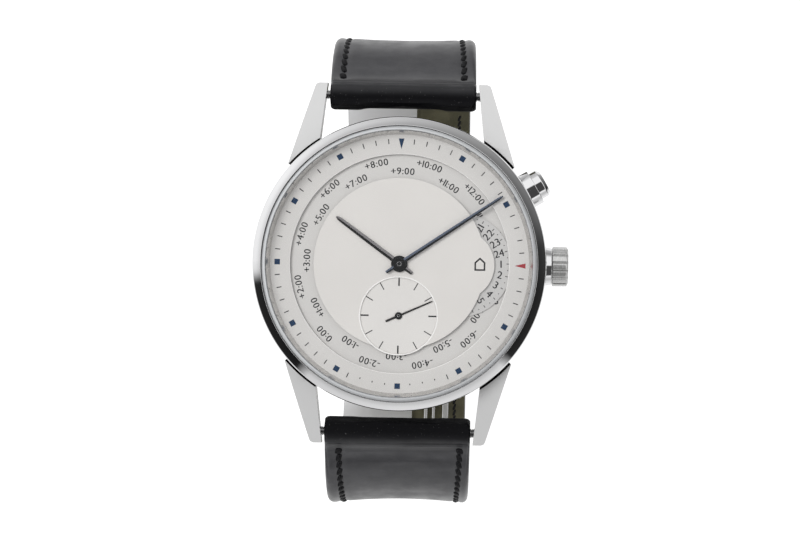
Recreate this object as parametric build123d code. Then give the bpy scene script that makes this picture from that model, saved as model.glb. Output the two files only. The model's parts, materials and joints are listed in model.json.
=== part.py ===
from build123d import *
import math
import os

# World time wristwatch, case and strap closed round a wrist opening.
# Lengths in millimetres, angles in degrees. +Z is out of the dial, +Y is 12 o'clock, +X is 3 o'clock.
# The origin is on the dial axis, on the flat of the strap that the watch stands on.

# Case, seen from above: one radius, and the widths of the rings from there outwards and inwards
flange_inner_radius = 17.57
flange_width = 0.57
flange_lip = 0.08
crystal_bevel = 0.48
gasket_width = 0.07
bezel_land_width = 0.06
bezel_slope_width = 1.2
bezel_overhang = 0.35
bezel_edge = 0.3
case_taper = 1.2
dial_rim_width = 0.28
dial_ledge_width = 0.95
movement_margin = 1.4

# Heights that stack up from the ground
strap_loop_height = 43.0
back_height = 1.5
mid_case_height = 6.7
bezel_height = 2.0
crystal_rise = 0.7
ledge_height = 0.9
case_foot_height = 1.1

# Back
back_ring_radius = 17.5
back_slope = 0.5
back_window_radius = 14.3
back_crystal_radius = 14.9
back_lip = 0.4
back_crystal_thickness = 0.9
back_screws = 6
back_screw_ring = 16.2
back_screw_radius = 0.6
back_screw_depth = 0.5
gasket_height = 0.2
slot_width = 0.18
slot_depth = 0.12

# Lugs and spring bars
lug_to_lug = 49.4
lug_gap = 20.7
lug_tip_width = 1.75
lug_root_inner_x = 11.35
lug_root_inner_y = 15.2
lug_root_outer_x = 15.4
lug_root_outer_y = 13.4
lug_hide_x = 13.9
lug_hide_y = 12.2
lug_tip_low = 0.7
lug_tip_high = 3.5
lug_root_drop = 0.5
lug_crest = 2.3
lug_round = 0.6
arc_mid_share = 0.293
lug_groove_width = 0.3
lug_groove_floor = 2.5
bar_reach = 23.1
bar_height = 2.3
bar_radius = 0.65
bar_tip_radius = 0.4
bar_tip_length = 0.9
bar_hole_radius = 0.45
bar_hole_depth = 1.1

# Dial and hands
dial_outer_inner_radius = 14.86
centre_dial_radius = 11.64
home_offset = 8.14
home_bulge_radius = 4.75
home_disc_radius = 7.08
seconds_offset = 7.05
seconds_bulge_radius = 5.38
seconds_dial_radius = 5.15
seconds_sink = 0.16
city_outer_radius = 15.3
city_inner_radius = 11.2
dial_thickness = 0.3
ring_thickness = 0.15
hour_length = 10.7
hour_tail = 2.17
hour_width = 0.7
hour_tip_width = 0.5
hour_tail_width = 0.5
hour_hub_radius = 1.1
hour_angle = 305.9
minute_length = 16.8
minute_tail = 2.14
minute_width = 0.58
minute_tip_width = 0.35
minute_tail_width = 0.42
minute_hub_radius = 0.87
minute_angle = 55.9
seconds_length = 5.03
seconds_tail = 1.9
seconds_width = 0.17
seconds_tail_width = 0.27
seconds_hub_radius = 0.49
seconds_angle = 65.8
hand_thickness = 0.15
hand_point = 0.9

# Crown, pusher and corrector
crown_radius = 2.85
crown_start = 20.75
crown_length = 2.2
crown_flutes = 15
flute_radius = 0.42
flute_out = 0.17
crown_round = 0.45
crown_bore_radius = 1.25
collar_inner_face = 18.2
collar_wide_radius = 2.98
collar_narrow_radius = 2.5
stem_radius = 0.45
stem_inner_end = 7.2
stem_groove_start = 12.6
stem_groove_width = 0.6
stem_neck_radius = 0.28
winding_leaves = 12
winding_root_radius = 0.6
winding_tip_radius = 0.74
winding_start = 7.6
winding_length = 1.2
winding_foot_share = 0.3
lever_half_height = 0.3
lever_length = 3.4
pusher_bearing = 30.7
pusher_sleeve_radius = 2.45
pusher_sleeve_start = 17.95
pusher_sleeve_end = 21.3
pusher_cap_radius = 1.95
pusher_end = 22.75
pusher_travel = 0.8
pusher_rod_radius = 0.5
pusher_inner_end = 15.9
floor_thickness = 0.45
pusher_chamfer = 0.45
spring_room_radius = 1.3
spring_room_depth = 1.2
spring_radius = 0.9
spring_wire = 0.12
spring_wire_sides = 6
spring_turns = 3.5
corrector_bearing = 210
corrector_radius = 0.6
corrector_inner_end = 16.3
corrector_face = 18.7

# Strap loop, as a route in the plane of the wrist opening
strap_width = 20.0
strap_end_width = 18.2
strap_thickness = 2.6
lining_thickness = 0.7
roll_radius = 1.8
strap_drop_angle = 25
strap_reach = 31.3
loop_shift = -1.0
strap_shoulder_radius = 9.0
loop_radius = 25.0

# Clasp, side by side leaves that follow the loop
leaf_thickness = 0.9
leaf_clearance = 0.1
leaf_end_angle = 38
blade_left = -9.0
blade_right = 1.2
leaf_left = 3.0
leaf_right = 6.6
leaf_lock_angle = 62

# Clearances shared by many pieces
running_clearance = 0.04
seat_clearance = 0.02
level_gap = 0.08
overrun = 1.0

# Movement
plate_thickness = 1.1
bridge_thickness = 1.0
rotor_clearance = 0.15
rotor_height = 1.0
rotor_plate_thickness = 0.35
rotor_radius = 14.4
rotor_rim_width = 2.6
train_height = 1.7
wheel_thickness = 0.18
pivot_radius = 0.1
arbor_radius = 0.22
jewel_radius = 0.55
jewel_thickness = 0.3
screw_head_radius = 0.7
screw_head_height = 0.3
tooth_height_share = 2.05
tooth_tip_share = 0.9
tooth_root_width_share = 0.6

# Train: modules, teeth and leaves
barrel_module = 0.2
barrel_teeth = 60
centre_pinion_leaves = 10
centre_module = 0.125
centre_teeth = 64
third_pinion_leaves = 8
third_module = 0.112
third_teeth = 60
fourth_pinion_leaves = 8
fourth_module = 0.088
fourth_teeth = 72
escape_pinion_leaves = 6
escape_radius = 2.2
escape_teeth = 15
ratchet_module = 0.17
ratchet_teeth = 48
crown_wheel_teeth = 28
hour_teeth = 32
minute_pinion_leaves = 8
minute_teeth = 36
cannon_leaves = 12
home_teeth = 64
barrel_bearing = 60
escape_bearing = 200
minute_wheel_bearing = 150
balance_x = -9.9
balance_y = -6.3
balance_radius = 3.4
balance_rim_width = 0.45
balance_rim_height = 0.36
barrel_height = 1.02
barrel_drum_radius = 5.5
barrel_arbor_radius = 0.7
centre_arbor_radius = 0.5
centre_post_radius = 0.18
cannon_radius = 0.4
hour_pipe_radius = 0.64
seconds_arbor_radius = 0.14
seconds_hair_width = 0.1
dial_hole_radius = 0.75
sub_dial_thickness = 0.1
home_hub_radius = 1.0
home_post_radius = 0.5
minute_post_radius = 0.25
ledge_inner_radius = 13.9
pillar_radius = 0.9
pillar_ring = 14.2
pillar_bearings = (20, 110, 165, 258, 300)
dial_foot_radius = 0.4
dial_foot_places = ((-5.2, 7.4), (-6.4, -5.2), (4.6, -9.2))
wheel_rim_share = 0.82
wheel_hub_radius = 0.75
arm_share = 0.22
centre_arms = 5
third_arms = 5
fourth_arms = 4
escape_arms = 4
pivot_reach = 0.25
pallet_distance = 2.66
pallet_arm_length = 1.5
pallet_spread = 66
pallet_width = 14
fork_half_width = 0.35
fork_angle = 5
fork_notch = 0.26
fork_gap = 0.08
roller_radius = 0.55
balance_hub_radius = 0.6
balance_arm_turn = 35
balance_arm_width = 0.4
hairspring_turns = 6
hairspring_steps = 12
hairspring_inner = 0.55
hairspring_outer = 2.0
hairspring_wire = 0.06
escape_root_share = 0.72
escape_front_share = 0.86
escape_back_share = 0.32
escape_foot_share = 0.12
escape_window_share = 0.6
ratchet_thickness = 0.35
crown_wheel_post = 0.6
cock_bearing = 97
cock_room_radius = 3.95
cock_nose = 1.0
cock_foot_start = 4.1
cock_foot_depth = 2.2
cock_foot_half = 1.9
ring_hole_gap = 0.2
rotor_bore_radius = 1.6
rotor_hub_radius = 3.2
rotor_hub_overlap = 0.6
bearing_lip = 0.1
bearing_screw_radius = 0.6
rotor_screw_head = 1.3

# Strap and clasp details
taper_end_height = 12.5
padding_length = 5.0
lining_drop = 1.5
end_roll_radius = 1.25
clasp_bar_radius = 0.6
clasp_bar_angle = 36
tail_angle = 41
strap_hole_radius = 0.75
hole_pitch = 7.0
hole_step_angle = 14
bar_end_gap = 0.15
hinge_pin_radius = 0.45
blind_end = 1.0
ear_gap = 0.15
ear_thickness = 0.7
ear_radius = 1.2
crossbar_half_angle = 3
leaf_slots = ((0.5, 1.2), (1.6, 2.7))
slot_start_angle = 43
slot_end_y = -9.0
loop_plate_thickness = 0.7
loop_half_angle = 3
stud_radius = 0.5


# Radii worked out from the widths above
flange_outer_radius = flange_inner_radius + flange_width
crystal_radius = flange_outer_radius + crystal_bevel
bezel_top_radius = crystal_radius + gasket_width + bezel_land_width
bezel_radius = bezel_top_radius + bezel_slope_width
case_top_radius = bezel_radius - bezel_overhang
case_bottom_radius = case_top_radius - case_taper
case_waist_radius = (case_bottom_radius + case_top_radius) / 2
dial_seat_radius = flange_inner_radius + dial_rim_width
case_bore_radius = dial_seat_radius - dial_ledge_width
movement_radius = case_bore_radius - movement_margin
gasket_outer = case_bore_radius - seat_clearance
gasket_inner = movement_radius + rotor_clearance
sleeve_floor = pusher_sleeve_start + floor_thickness
loop_centre_y = strap_reach - loop_radius
loop_centre_z = loop_radius + strap_thickness / 2
leaf_outer_radius = loop_radius - strap_thickness / 2 - leaf_clearance
leaf_inner_radius = leaf_outer_radius - leaf_thickness
knuckle_radius = leaf_thickness
hinge_radius = leaf_outer_radius - knuckle_radius + leaf_clearance / 2

# Levels worked out from the heights above
z_back = strap_loop_height
z_mid = z_back + back_height
z_case_top = z_mid + mid_case_height
z_ledge = z_case_top + ledge_height
z_bezel_top = z_case_top + bezel_height
z_bar = z_back + bar_height
z_rotor = z_mid + rotor_clearance
z_bridge = z_rotor + rotor_height + rotor_clearance
z_train = z_bridge + bridge_thickness
z_plate = z_train + train_height
z_plate_top = z_plate + plate_thickness
z_minute_wheel = z_plate_top + level_gap
z_hour_wheel = z_minute_wheel + wheel_thickness + level_gap
z_city = z_hour_wheel + wheel_thickness + level_gap
z_home = z_city + ring_thickness + level_gap
z_dial = z_home + ring_thickness + level_gap
z_dial_top = z_dial + dial_thickness
z_seconds_hand = z_dial_top - seconds_sink + level_gap
z_hour_hand = z_dial_top + 2 * level_gap
z_minute_hand = z_hour_hand + hand_thickness + 2 * level_gap
z_stem = (z_train + z_plate) / 2
z_hairspring = z_train + level_gap
z_balance = z_hairspring + wheel_thickness + level_gap
z_escape = z_balance + balance_rim_height + level_gap

# Modules that follow from the places of the hands and discs
motion_module = 2 * home_offset / (hour_teeth + home_teeth)
minute_module = motion_module * (hour_teeth + minute_pinion_leaves) / (cannon_leaves + minute_teeth)


# Shapes used by many pieces

def tube(outer, inner, low, high, centre=(0, 0)):
    """An upright ring, or a disc where the inner radius is zero."""
    body = Cylinder(outer, high - low, align=(Align.CENTER, Align.CENTER, Align.MIN))
    if inner > 0:
        hole = Cylinder(inner, high - low + 2 * overrun, align=(Align.CENTER, Align.CENTER, Align.MIN))
        body = body - Pos(0, 0, -overrun) * hole
    return Pos(centre[0], centre[1], low) * body


def turned(points):
    """A closed outline of (radius, height) points turned about the dial axis."""
    outline = Polyline([(r, 0, z) for r, z in points], close=True)
    return revolve(make_face(outline), Axis.Z)


def polar(radius, angle, centre=(0, 0)):
    """A point at a compass angle counted from +X towards +Y."""
    turn = math.radians(angle)
    return (centre[0] + radius * math.cos(turn), centre[1] + radius * math.sin(turn))


def flat(points, low, high):
    """A closed outline of (x, y) points given a thickness."""
    face = make_face(Polyline([(x, y, low) for x, y in points], close=True))
    return extrude(face, high - low, dir=(0, 0, 1))


def side_slab(edges, left, right):
    """An outline drawn in the YZ plane at x = 0, given a width along X."""
    face = make_face(edges)
    return Pos(left, 0, 0) * extrude(face, right - left, dir=(1, 0, 0))


def rod(radius, start, end, height, bearing, inner=0):
    """A level cylinder along a compass bearing between two distances from the dial axis."""
    body = Cylinder(radius, end - start, align=(Align.CENTER, Align.CENTER, Align.MIN))
    if inner > 0:
        hole = Cylinder(inner, end - start + 2 * overrun, align=(Align.CENTER, Align.CENTER, Align.MIN))
        body = body - Pos(0, 0, -overrun) * hole
    return Pos(0, 0, height) * Rot(0, 0, bearing) * Rot(0, 90, 0) * Pos(0, 0, start) * body


def gear(teeth, module, low, high, centre, bore, tooth_at):
    """A toothed disc with one tooth centred on the angle tooth_at."""
    pitch_radius = teeth * module / 2
    tip = pitch_radius + tooth_tip_share * module
    root = tip - tooth_height_share * module
    step = 360 / teeth
    points = []
    for k in range(teeth):
        angle = tooth_at + k * step
        points.append(polar(root, angle - step * tooth_root_width_share / 2))
        points.append(polar(tip, angle))
        points.append(polar(root, angle + step * tooth_root_width_share / 2))
    wheel = flat(points, low, high)
    if bore > 0:
        wheel = wheel - tube(bore, 0, low - overrun, high + overrun)
    return Pos(centre[0], centre[1], 0) * wheel


def crossings(wheel, outer, inner, arms, low, high, centre):
    """Cuts the windows between the arms of a wheel."""
    width = (outer - inner) * arm_share
    cut = tube(outer, inner, low - overrun, high + overrun)
    for k in range(arms):
        arm = Box(outer * 2, width, high - low + 4 * overrun, align=(Align.MIN, Align.CENTER, Align.CENTER))
        cut = cut - Pos(0, 0, (low + high) / 2) * Rot(0, 0, k * 360 / arms) * arm
    return wheel - Pos(centre[0], centre[1], 0) * cut


# Case

def make_mid_case():
    z_seat = z_plate_top
    foot = z_mid + case_foot_height
    body = turned([
        (case_bore_radius, z_mid), (case_bottom_radius, z_mid), (case_waist_radius, foot),
        (case_top_radius, z_seat - case_foot_height), (case_top_radius, z_case_top),
        (dial_seat_radius, z_case_top), (dial_seat_radius, z_seat), (case_bore_radius, z_seat),
    ])
    room = tube(bezel_radius + lug_groove_width, 0, z_case_top - lug_groove_floor, z_case_top + overrun)
    for x_sign, y_sign in ((1, 1), (1, -1), (-1, 1), (-1, -1)):
        body = body + (lug(x_sign, y_sign) - room)
    outside = bezel_radius + overrun
    body = body - rod(crown_bore_radius, case_bore_radius - overrun, outside, z_stem, 0)
    body = body - rod(pusher_sleeve_radius, pusher_sleeve_start, outside, z_stem, pusher_bearing)
    body = body - rod(pusher_rod_radius + running_clearance, case_bore_radius - overrun, outside, z_stem,
                      pusher_bearing)
    body = body - rod(corrector_radius + running_clearance, case_bore_radius - overrun,
                      bezel_radius + overrun, z_stem, corrector_bearing)
    for side in (1, -1):
        hole = Cylinder(bar_hole_radius, lug_gap + 2 * bar_hole_depth, rotation=(0, 90, 0))
        body = body - Pos(0, side * bar_reach, z_bar) * hole
    return body


def case_solid():
    """The case's outside as a filled shape, for cutting what stands out of its flank."""
    return turned([
        (0, z_mid), (case_bottom_radius, z_mid), (case_waist_radius, z_mid + case_foot_height),
        (case_top_radius, z_plate_top - case_foot_height), (case_top_radius, z_case_top), (0, z_case_top),
    ])


def lug(x_sign, y_sign):
    """One lug: its outline from above, round at the tip's outer corner, cut to its outline from the side."""
    tip_y = lug_to_lug / 2
    inner = lug_gap / 2
    outer = inner + lug_tip_width
    eased = lug_round * arc_mid_share
    plan = [
        (lug_root_inner_x, lug_root_inner_y), (inner, tip_y), (outer - lug_round, tip_y),
        (outer - eased, tip_y - eased), (outer, tip_y - lug_round), (lug_root_outer_x, lug_root_outer_y),
        (lug_hide_x, lug_hide_y),
    ]
    block = flat([(x * x_sign, y * y_sign) for x, y in plan], z_back, z_case_top)
    root_y = y_sign * (lug_hide_y - overrun)
    tip = y_sign * tip_y
    high_root = z_case_top - lug_root_drop
    low_root = z_mid + lug_tip_low
    top_middle = (0, y_sign * (bar_reach + lug_root_inner_y) / 2, z_back + lug_tip_high + lug_crest)
    low_middle = (0, y_sign * (bar_reach + lug_root_inner_y) / 2, z_mid)
    side = [
        ThreePointArc((0, root_y, high_root), top_middle, (0, tip, z_back + lug_tip_high)),
        Line((0, tip, z_back + lug_tip_high), (0, tip, z_back + lug_tip_low)),
        ThreePointArc((0, tip, z_back + lug_tip_low), low_middle, (0, root_y, low_root)),
        Line((0, root_y, low_root), (0, root_y, high_root)),
    ]
    reach = bezel_radius + overrun
    return block & side_slab(side, -reach, reach)


def make_bezel():
    body = turned([
        (flange_outer_radius, z_case_top), (case_top_radius, z_case_top),
        (bezel_radius, z_case_top + bezel_edge),
        (bezel_radius, z_case_top + 2 * bezel_edge), (bezel_top_radius, z_bezel_top),
        (crystal_radius + gasket_width, z_bezel_top), (crystal_radius + gasket_width, z_ledge),
        (flange_outer_radius, z_ledge),
    ])
    return body


def make_gasket():
    low = z_ledge
    outer = crystal_radius + gasket_width
    return tube(outer, crystal_radius, low, z_bezel_top - bezel_edge)


def ball_radius(edge, rise):
    """The radius of the ball whose cap has this edge radius and this rise."""
    return (edge ** 2 + rise ** 2) / (2 * rise)


def make_crystal():
    """The sapphire: a disc with a bevelled rim and a low domed top."""
    dome_edge = crystal_radius - crystal_bevel
    ball = ball_radius(dome_edge, crystal_rise)
    body = turned([
        (0, z_ledge), (crystal_radius, z_ledge), (crystal_radius, z_bezel_top - crystal_bevel),
        (dome_edge, z_bezel_top), (dome_edge, z_bezel_top + crystal_rise), (0, z_bezel_top + crystal_rise),
    ])
    outside = Pos(0, 0, z_bezel_top + crystal_rise - ball) * Sphere(ball)
    return body & outside


def make_flange():
    """The polished ring that slopes down from under the crystal to the dial."""
    return turned([
        (flange_inner_radius, z_dial_top), (dial_seat_radius - seat_clearance, z_dial_top),
        (dial_seat_radius - seat_clearance, z_case_top), (flange_outer_radius - seat_clearance, z_case_top),
        (flange_outer_radius - seat_clearance, z_ledge),
        (flange_outer_radius - flange_lip, z_ledge),
    ])


def make_back_ring():
    inner = back_window_radius
    return turned([
        (inner, z_back), (back_ring_radius, z_back), (back_ring_radius + back_slope, z_mid),
        (back_crystal_radius, z_mid), (back_crystal_radius, z_back + back_lip), (inner, z_back + back_lip),
    ]) - screw_holes()


def screw_places():
    return [polar(back_screw_ring, 30 + k * 360 / back_screws) for k in range(back_screws)]


def screw_holes():
    low = z_back - overrun
    holes = [tube(back_screw_radius, 0, low, z_back + back_screw_depth, at) for at in screw_places()]
    return Compound(children=holes)


def make_back_screws():
    """Flat screws flush in the back ring, each with a slot."""
    screws = []
    for at in screw_places():
        head = tube(back_screw_radius, 0, z_back, z_back + back_screw_depth, at)
        slot = Box(2 * back_screw_radius + overrun, slot_width, 2 * slot_depth)
        screws.append(head - Pos(at[0], at[1], z_back) * slot)
    return Compound(children=screws)


def make_back_crystal():
    low = z_back + back_lip
    return tube(back_crystal_radius - seat_clearance, 0, low, low + back_crystal_thickness)


def make_back_gasket():
    return tube(gasket_outer, gasket_inner, z_mid, z_mid + gasket_height)


# Crown, pusher and corrector

def make_crown_tube():
    """The tube in the case wall with the polished collar outside it."""
    collar_start = collar_inner_face
    collar = Cone(collar_wide_radius, collar_narrow_radius, crown_start - level_gap - collar_start,
                  align=(Align.CENTER, Align.CENTER, Align.MIN))
    collar = Pos(collar_start, 0, z_stem) * Rot(0, 90, 0) * collar
    pipe = rod(crown_bore_radius - seat_clearance, case_bore_radius, crown_start - level_gap, z_stem, 0)
    bore = rod(stem_radius + running_clearance, case_bore_radius - overrun, crown_start + overrun, z_stem, 0)
    return (collar - case_solid()) + pipe - bore


def make_crown():
    """The crown head, fluted round its rim."""
    body = Cylinder(crown_radius, crown_length, align=(Align.CENTER, Align.CENTER, Align.MIN))
    body = fillet(body.edges().filter_by(GeomType.CIRCLE), crown_round)
    for k in range(crown_flutes):
        x, y = polar(crown_radius + flute_out, k * 360 / crown_flutes)
        groove = Cylinder(flute_radius, crown_length + 2 * overrun)
        body = body - Pos(x, y, crown_length / 2) * groove
    return Pos(crown_start, 0, z_stem) * Rot(0, 90, 0) * body


def make_stem():
    shaft = rod(stem_radius, stem_inner_end, crown_start, z_stem, 0)
    groove = rod(stem_radius + overrun, stem_groove_start, stem_groove_start + stem_groove_width, z_stem, 0,
                 stem_neck_radius)
    return shaft - groove


def make_winding_pinion():
    """The small toothed wheel on the stem, its teeth along the stem."""
    points = []
    step = 360 / winding_leaves
    for k in range(winding_leaves):
        points.append(polar(winding_root_radius, (k - winding_foot_share) * step))
        points.append(polar(winding_tip_radius, k * step))
        points.append(polar(winding_root_radius, (k + winding_foot_share) * step))
    wheel = flat(points, winding_start, winding_start + winding_length)
    wheel = wheel - tube(stem_radius, 0, winding_start - overrun, winding_start + winding_length + overrun)
    return Pos(0, 0, z_stem) * Rot(0, 90, 0) * wheel


def make_setting_lever():
    """The lever whose fork rides in the groove of the stem."""
    low = z_stem - lever_half_height
    high = z_stem + lever_half_height
    centre = stem_groove_start + stem_groove_width / 2
    half = stem_groove_width / 2 - running_clearance
    plate = flat([
        (centre - half, -stem_neck_radius - running_clearance), (centre - half, -lever_length),
        (centre + half, -lever_length), (centre + half, -stem_neck_radius - running_clearance),
    ], low, high)
    return plate


def make_pusher_sleeve():
    """The fixed sleeve that guides the cap, with a floor that the rod goes through."""
    body = rod(pusher_sleeve_radius - seat_clearance, pusher_sleeve_start, pusher_sleeve_end, z_stem,
               pusher_bearing)
    body = body - rod(pusher_cap_radius + running_clearance, sleeve_floor,
                      pusher_sleeve_end + overrun, z_stem,
                      pusher_bearing)
    return body - rod(pusher_rod_radius + running_clearance,
                      pusher_sleeve_start - overrun, pusher_sleeve_end,
                      z_stem, pusher_bearing)


def make_pusher():
    """The cap that is pressed and the rod behind it."""
    cap_start = sleeve_floor + pusher_travel + level_gap
    cap = rod(pusher_cap_radius, cap_start, pusher_end, z_stem, pusher_bearing)
    cap = chamfer(cap.edges().filter_by(GeomType.CIRCLE).sort_by(along_bearing)[-1], pusher_chamfer)
    hollow = rod(spring_room_radius, cap_start - overrun, cap_start + spring_room_depth, z_stem,
                 pusher_bearing)
    stalk = rod(pusher_rod_radius, pusher_inner_end, pusher_end - overrun, z_stem, pusher_bearing)
    return (cap - hollow) + stalk


def along_bearing(edge):
    turn = math.radians(pusher_bearing)
    middle = edge.center()
    return middle.X * math.cos(turn) + middle.Y * math.sin(turn)


def make_pusher_spring():
    """The coil spring round the rod, between the sleeve floor and the cap."""
    length = pusher_travel + level_gap + spring_room_depth - 2 * level_gap - 2 * spring_wire
    pitch = length / spring_turns
    coil = Helix(pitch, length, spring_radius)
    profile = Plane(origin=coil @ 0, z_dir=coil % 0) * RegularPolygon(spring_wire, spring_wire_sides)
    wire = sweep(profile, path=coil, is_frenet=True)
    return (Pos(0, 0, z_stem) * Rot(0, 0, pusher_bearing) * Rot(0, 90, 0)
            * Pos(0, 0, sleeve_floor + level_gap + spring_wire) * wire)


def make_corrector():
    """The small recessed pin in the case flank at 8 o'clock."""
    return rod(corrector_radius, corrector_inner_end, corrector_face, z_stem, corrector_bearing)


# Strap

def loop_point(radius, angle, side=1, shift=loop_shift):
    """A point (y, z) on the curved end of the loop, at an angle below the level through its centre."""
    turn = math.radians(angle)
    y = side * (loop_centre_y + radius * math.cos(turn)) + shift
    return (y, loop_centre_z - radius * math.sin(turn))


def strap_start(reach):
    """The first two corners of the strap's middle line, from the spring bar to the shoulder."""
    drop = math.radians(strap_drop_angle)
    shoulder = z_bar - (reach - bar_reach) * math.tan(drop)
    return [(bar_reach, z_bar), (reach, shoulder)]


def short_route():
    """The short strap half's middle line, from its spring bar to the clasp bar."""
    reach = strap_reach + loop_shift
    corner = loop_centre_z - loop_radius * math.tan(math.radians(clasp_bar_angle) / 2)
    route = strap_start(reach) + [(reach, corner), loop_point(loop_radius, clasp_bar_angle)]
    return route, [strap_shoulder_radius, loop_radius]


def long_route():
    """The long strap half's middle line, drawn from the 12 o'clock side and mirrored afterwards."""
    rise = math.radians(90 - tail_angle)
    reach = strap_reach - loop_shift
    far_corner = (-loop_centre_y - loop_shift - loop_radius * math.tan(rise / 2), strap_thickness / 2)
    route = strap_start(reach) + [(reach, strap_thickness / 2), far_corner,
                                  loop_point(loop_radius, tail_angle, -1, -loop_shift)]
    return route, [strap_shoulder_radius, loop_radius, loop_radius]


def shifted(points, distance):
    """The same route moved sideways by a distance, to the left of its direction."""
    lines = []
    for (y0, z0), (y1, z1) in zip(points[:-1], points[1:]):
        length = math.hypot(y1 - y0, z1 - z0)
        ny = -(z1 - z0) / length * distance
        nz = (y1 - y0) / length * distance
        lines.append(((y0 + ny, z0 + nz), (y1 + ny, z1 + nz)))
    moved = [lines[0][0]]
    for first, second in zip(lines[:-1], lines[1:]):
        moved.append(crossing(first, second))
    moved.append(lines[-1][1])
    return moved


def crossing(first, second):
    """Where two straight lines, each given by two points, cross."""
    (y1, z1), (y2, z2) = first
    (y3, z3), (y4, z4) = second
    bottom = (y1 - y2) * (z3 - z4) - (z1 - z2) * (y3 - y4)
    a = y1 * z2 - z1 * y2
    b = y3 * z4 - z3 * y4
    return ((a * (y3 - y4) - (y1 - y2) * b) / bottom, (a * (z3 - z4) - (z1 - z2) * b) / bottom)


def rounded(points, radii):
    """Straight runs joined by tangent arcs, as edges in the plane x = 0."""
    edges = []
    start = points[0]
    for before, corner, after, radius in zip(points[:-2], points[1:-1], points[2:], radii):
        along = unit(before, corner)
        onward = unit(corner, after)
        turn = math.acos(along[0] * onward[0] + along[1] * onward[1])
        reach = radius * math.tan(turn / 2)
        arc_start = (corner[0] - along[0] * reach, corner[1] - along[1] * reach)
        arc_end = (corner[0] + onward[0] * reach, corner[1] + onward[1] * reach)
        inward = unit(along, onward)
        depth = radius / math.cos(turn / 2) - radius
        middle = (corner[0] + inward[0] * depth, corner[1] + inward[1] * depth)
        add_run(edges, start, arc_start)
        edges.append(ThreePointArc((0, *arc_start), (0, *middle), (0, *arc_end)))
        start = arc_end
    add_run(edges, start, points[-1])
    return edges


def unit(start, end):
    """The direction from one point to another."""
    length = math.hypot(end[0] - start[0], end[1] - start[1])
    return ((end[0] - start[0]) / length, (end[1] - start[1]) / length)


def add_run(edges, start, end):
    """A straight run, left out where the arcs already meet."""
    if math.hypot(end[0] - start[0], end[1] - start[1]) > seat_clearance:
        edges.append(Line((0, *start), (0, *end)))


def band(route, near, far, left, right):
    """A band between two sideways shifts of one route, given a width along X."""
    points, radii = route
    rails = [rounded(shifted(points, shift), [radius + shift for radius in radii]) for shift in (near, far)]
    first, second = rails
    caps = [Line(first[0] @ 0, second[0] @ 0), Line(first[-1] @ 1, second[-1] @ 1)]
    return side_slab(first + second + caps, left, right)


def across(radius, y, z, left, right):
    """A cylinder that lies along X."""
    body = Cylinder(radius, right - left, align=(Align.CENTER, Align.CENTER, Align.MIN))
    return Pos(left, y, z) * Rot(0, 90, 0) * body


def narrowed(body):
    """Cuts a strap half to the taper of its width from the lugs down to the clasp."""
    wide = strap_width / 2
    slim = strap_end_width / 2
    reach = strap_reach + strap_thickness + overrun
    top = z_bar + roll_radius + overrun
    outline = [(-slim, -overrun), (slim, -overrun), (slim, taper_end_height), (wide, z_bar),
               (wide, top), (-wide, top), (-wide, z_bar), (-slim, taper_end_height)]
    face = make_face(Polyline([(x, -reach, z) for x, z in outline], close=True))
    return body & extrude(face, 2 * reach, dir=(0, 1, 0))


def strap_roll():
    """The rolled end round the spring bar, with the padding that runs out of it."""
    drop = math.radians(strap_drop_angle)
    wide = strap_width / 2
    roll = across(roll_radius, bar_reach, z_bar, -wide, wide)
    half = strap_thickness / 2
    y_end = bar_reach + padding_length * math.cos(drop)
    z_end = z_bar - padding_length * math.sin(drop)
    away = roll_radius - seat_clearance
    points = [
        (bar_reach + away * math.sin(drop), z_bar + away * math.cos(drop)),
        (y_end + half * math.sin(drop), z_end + half * math.cos(drop)),
        (y_end - half * math.sin(drop), z_end - half * math.cos(drop)),
        (bar_reach - away * math.sin(drop), z_bar - away * math.cos(drop)),
    ]
    outline = Polyline([(0, y, z) for y, z in points], close=True)
    return roll + side_slab(outline, -wide, wide)


def lining_band(route):
    """The soft inner layer, which starts a little below the rolled end."""
    half = strap_thickness / 2
    wide = strap_width / 2
    body = band(route, lining_thickness - half, -half, -wide, wide)
    top = Box(2 * strap_width, 4 * strap_reach, z_bar, align=(Align.CENTER, Align.CENTER, Align.MIN))
    return body - Pos(0, 0, z_bar - roll_radius - lining_drop) * top


def leather_half(route):
    """The black leather of one strap half: its whole thickness less the lining."""
    half = strap_thickness / 2
    wide = strap_width / 2
    body = band(route, half, -half, -wide, wide) + strap_roll()
    body = body - across(bar_radius + running_clearance, bar_reach, z_bar, -wide - overrun, wide + overrun)
    return body


def make_strap_upper():
    """The short half at 12 o'clock, ending in a loop round the clasp bar."""
    route = short_route()
    y, z = loop_point(loop_radius, clasp_bar_angle)
    wide = strap_width / 2
    body = leather_half(route) - lining_band(route) + across(end_roll_radius, y, z, -wide, wide)
    body = body - across(clasp_bar_radius + seat_clearance, y, z, -wide - overrun, wide + overrun)
    return narrowed(body)


def make_strap_upper_lining():
    y, z = loop_point(loop_radius, clasp_bar_angle)
    wide = strap_width
    body = lining_band(short_route()) - across(end_roll_radius, y, z, -wide, wide)
    return narrowed(body)


def strap_holes():
    """The row of adjusting holes along the middle of the long half."""
    holes = []
    for angle in (leaf_lock_angle, leaf_lock_angle + hole_step_angle):
        y, z = loop_point(loop_radius, angle, -1, -loop_shift)
        hole = Cylinder(strap_hole_radius, 2 * strap_thickness)
        holes.append(Pos(0, y, z) * Rot(angle - 90, 0, 0) * hole)
    for k in (1, -1):
        hole = Cylinder(strap_hole_radius, 2 * strap_thickness)
        holes.append(Pos(0, k * hole_pitch / 2, strap_thickness / 2) * hole)
    return Compound(children=holes)


def make_strap_lower():
    """The long half at 6 o'clock, which runs outside the clasp to its tail."""
    route = long_route()
    body = leather_half(route) - lining_band(route)
    body = narrowed(body) - strap_holes()
    return mirror(body, Plane.XZ)


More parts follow.
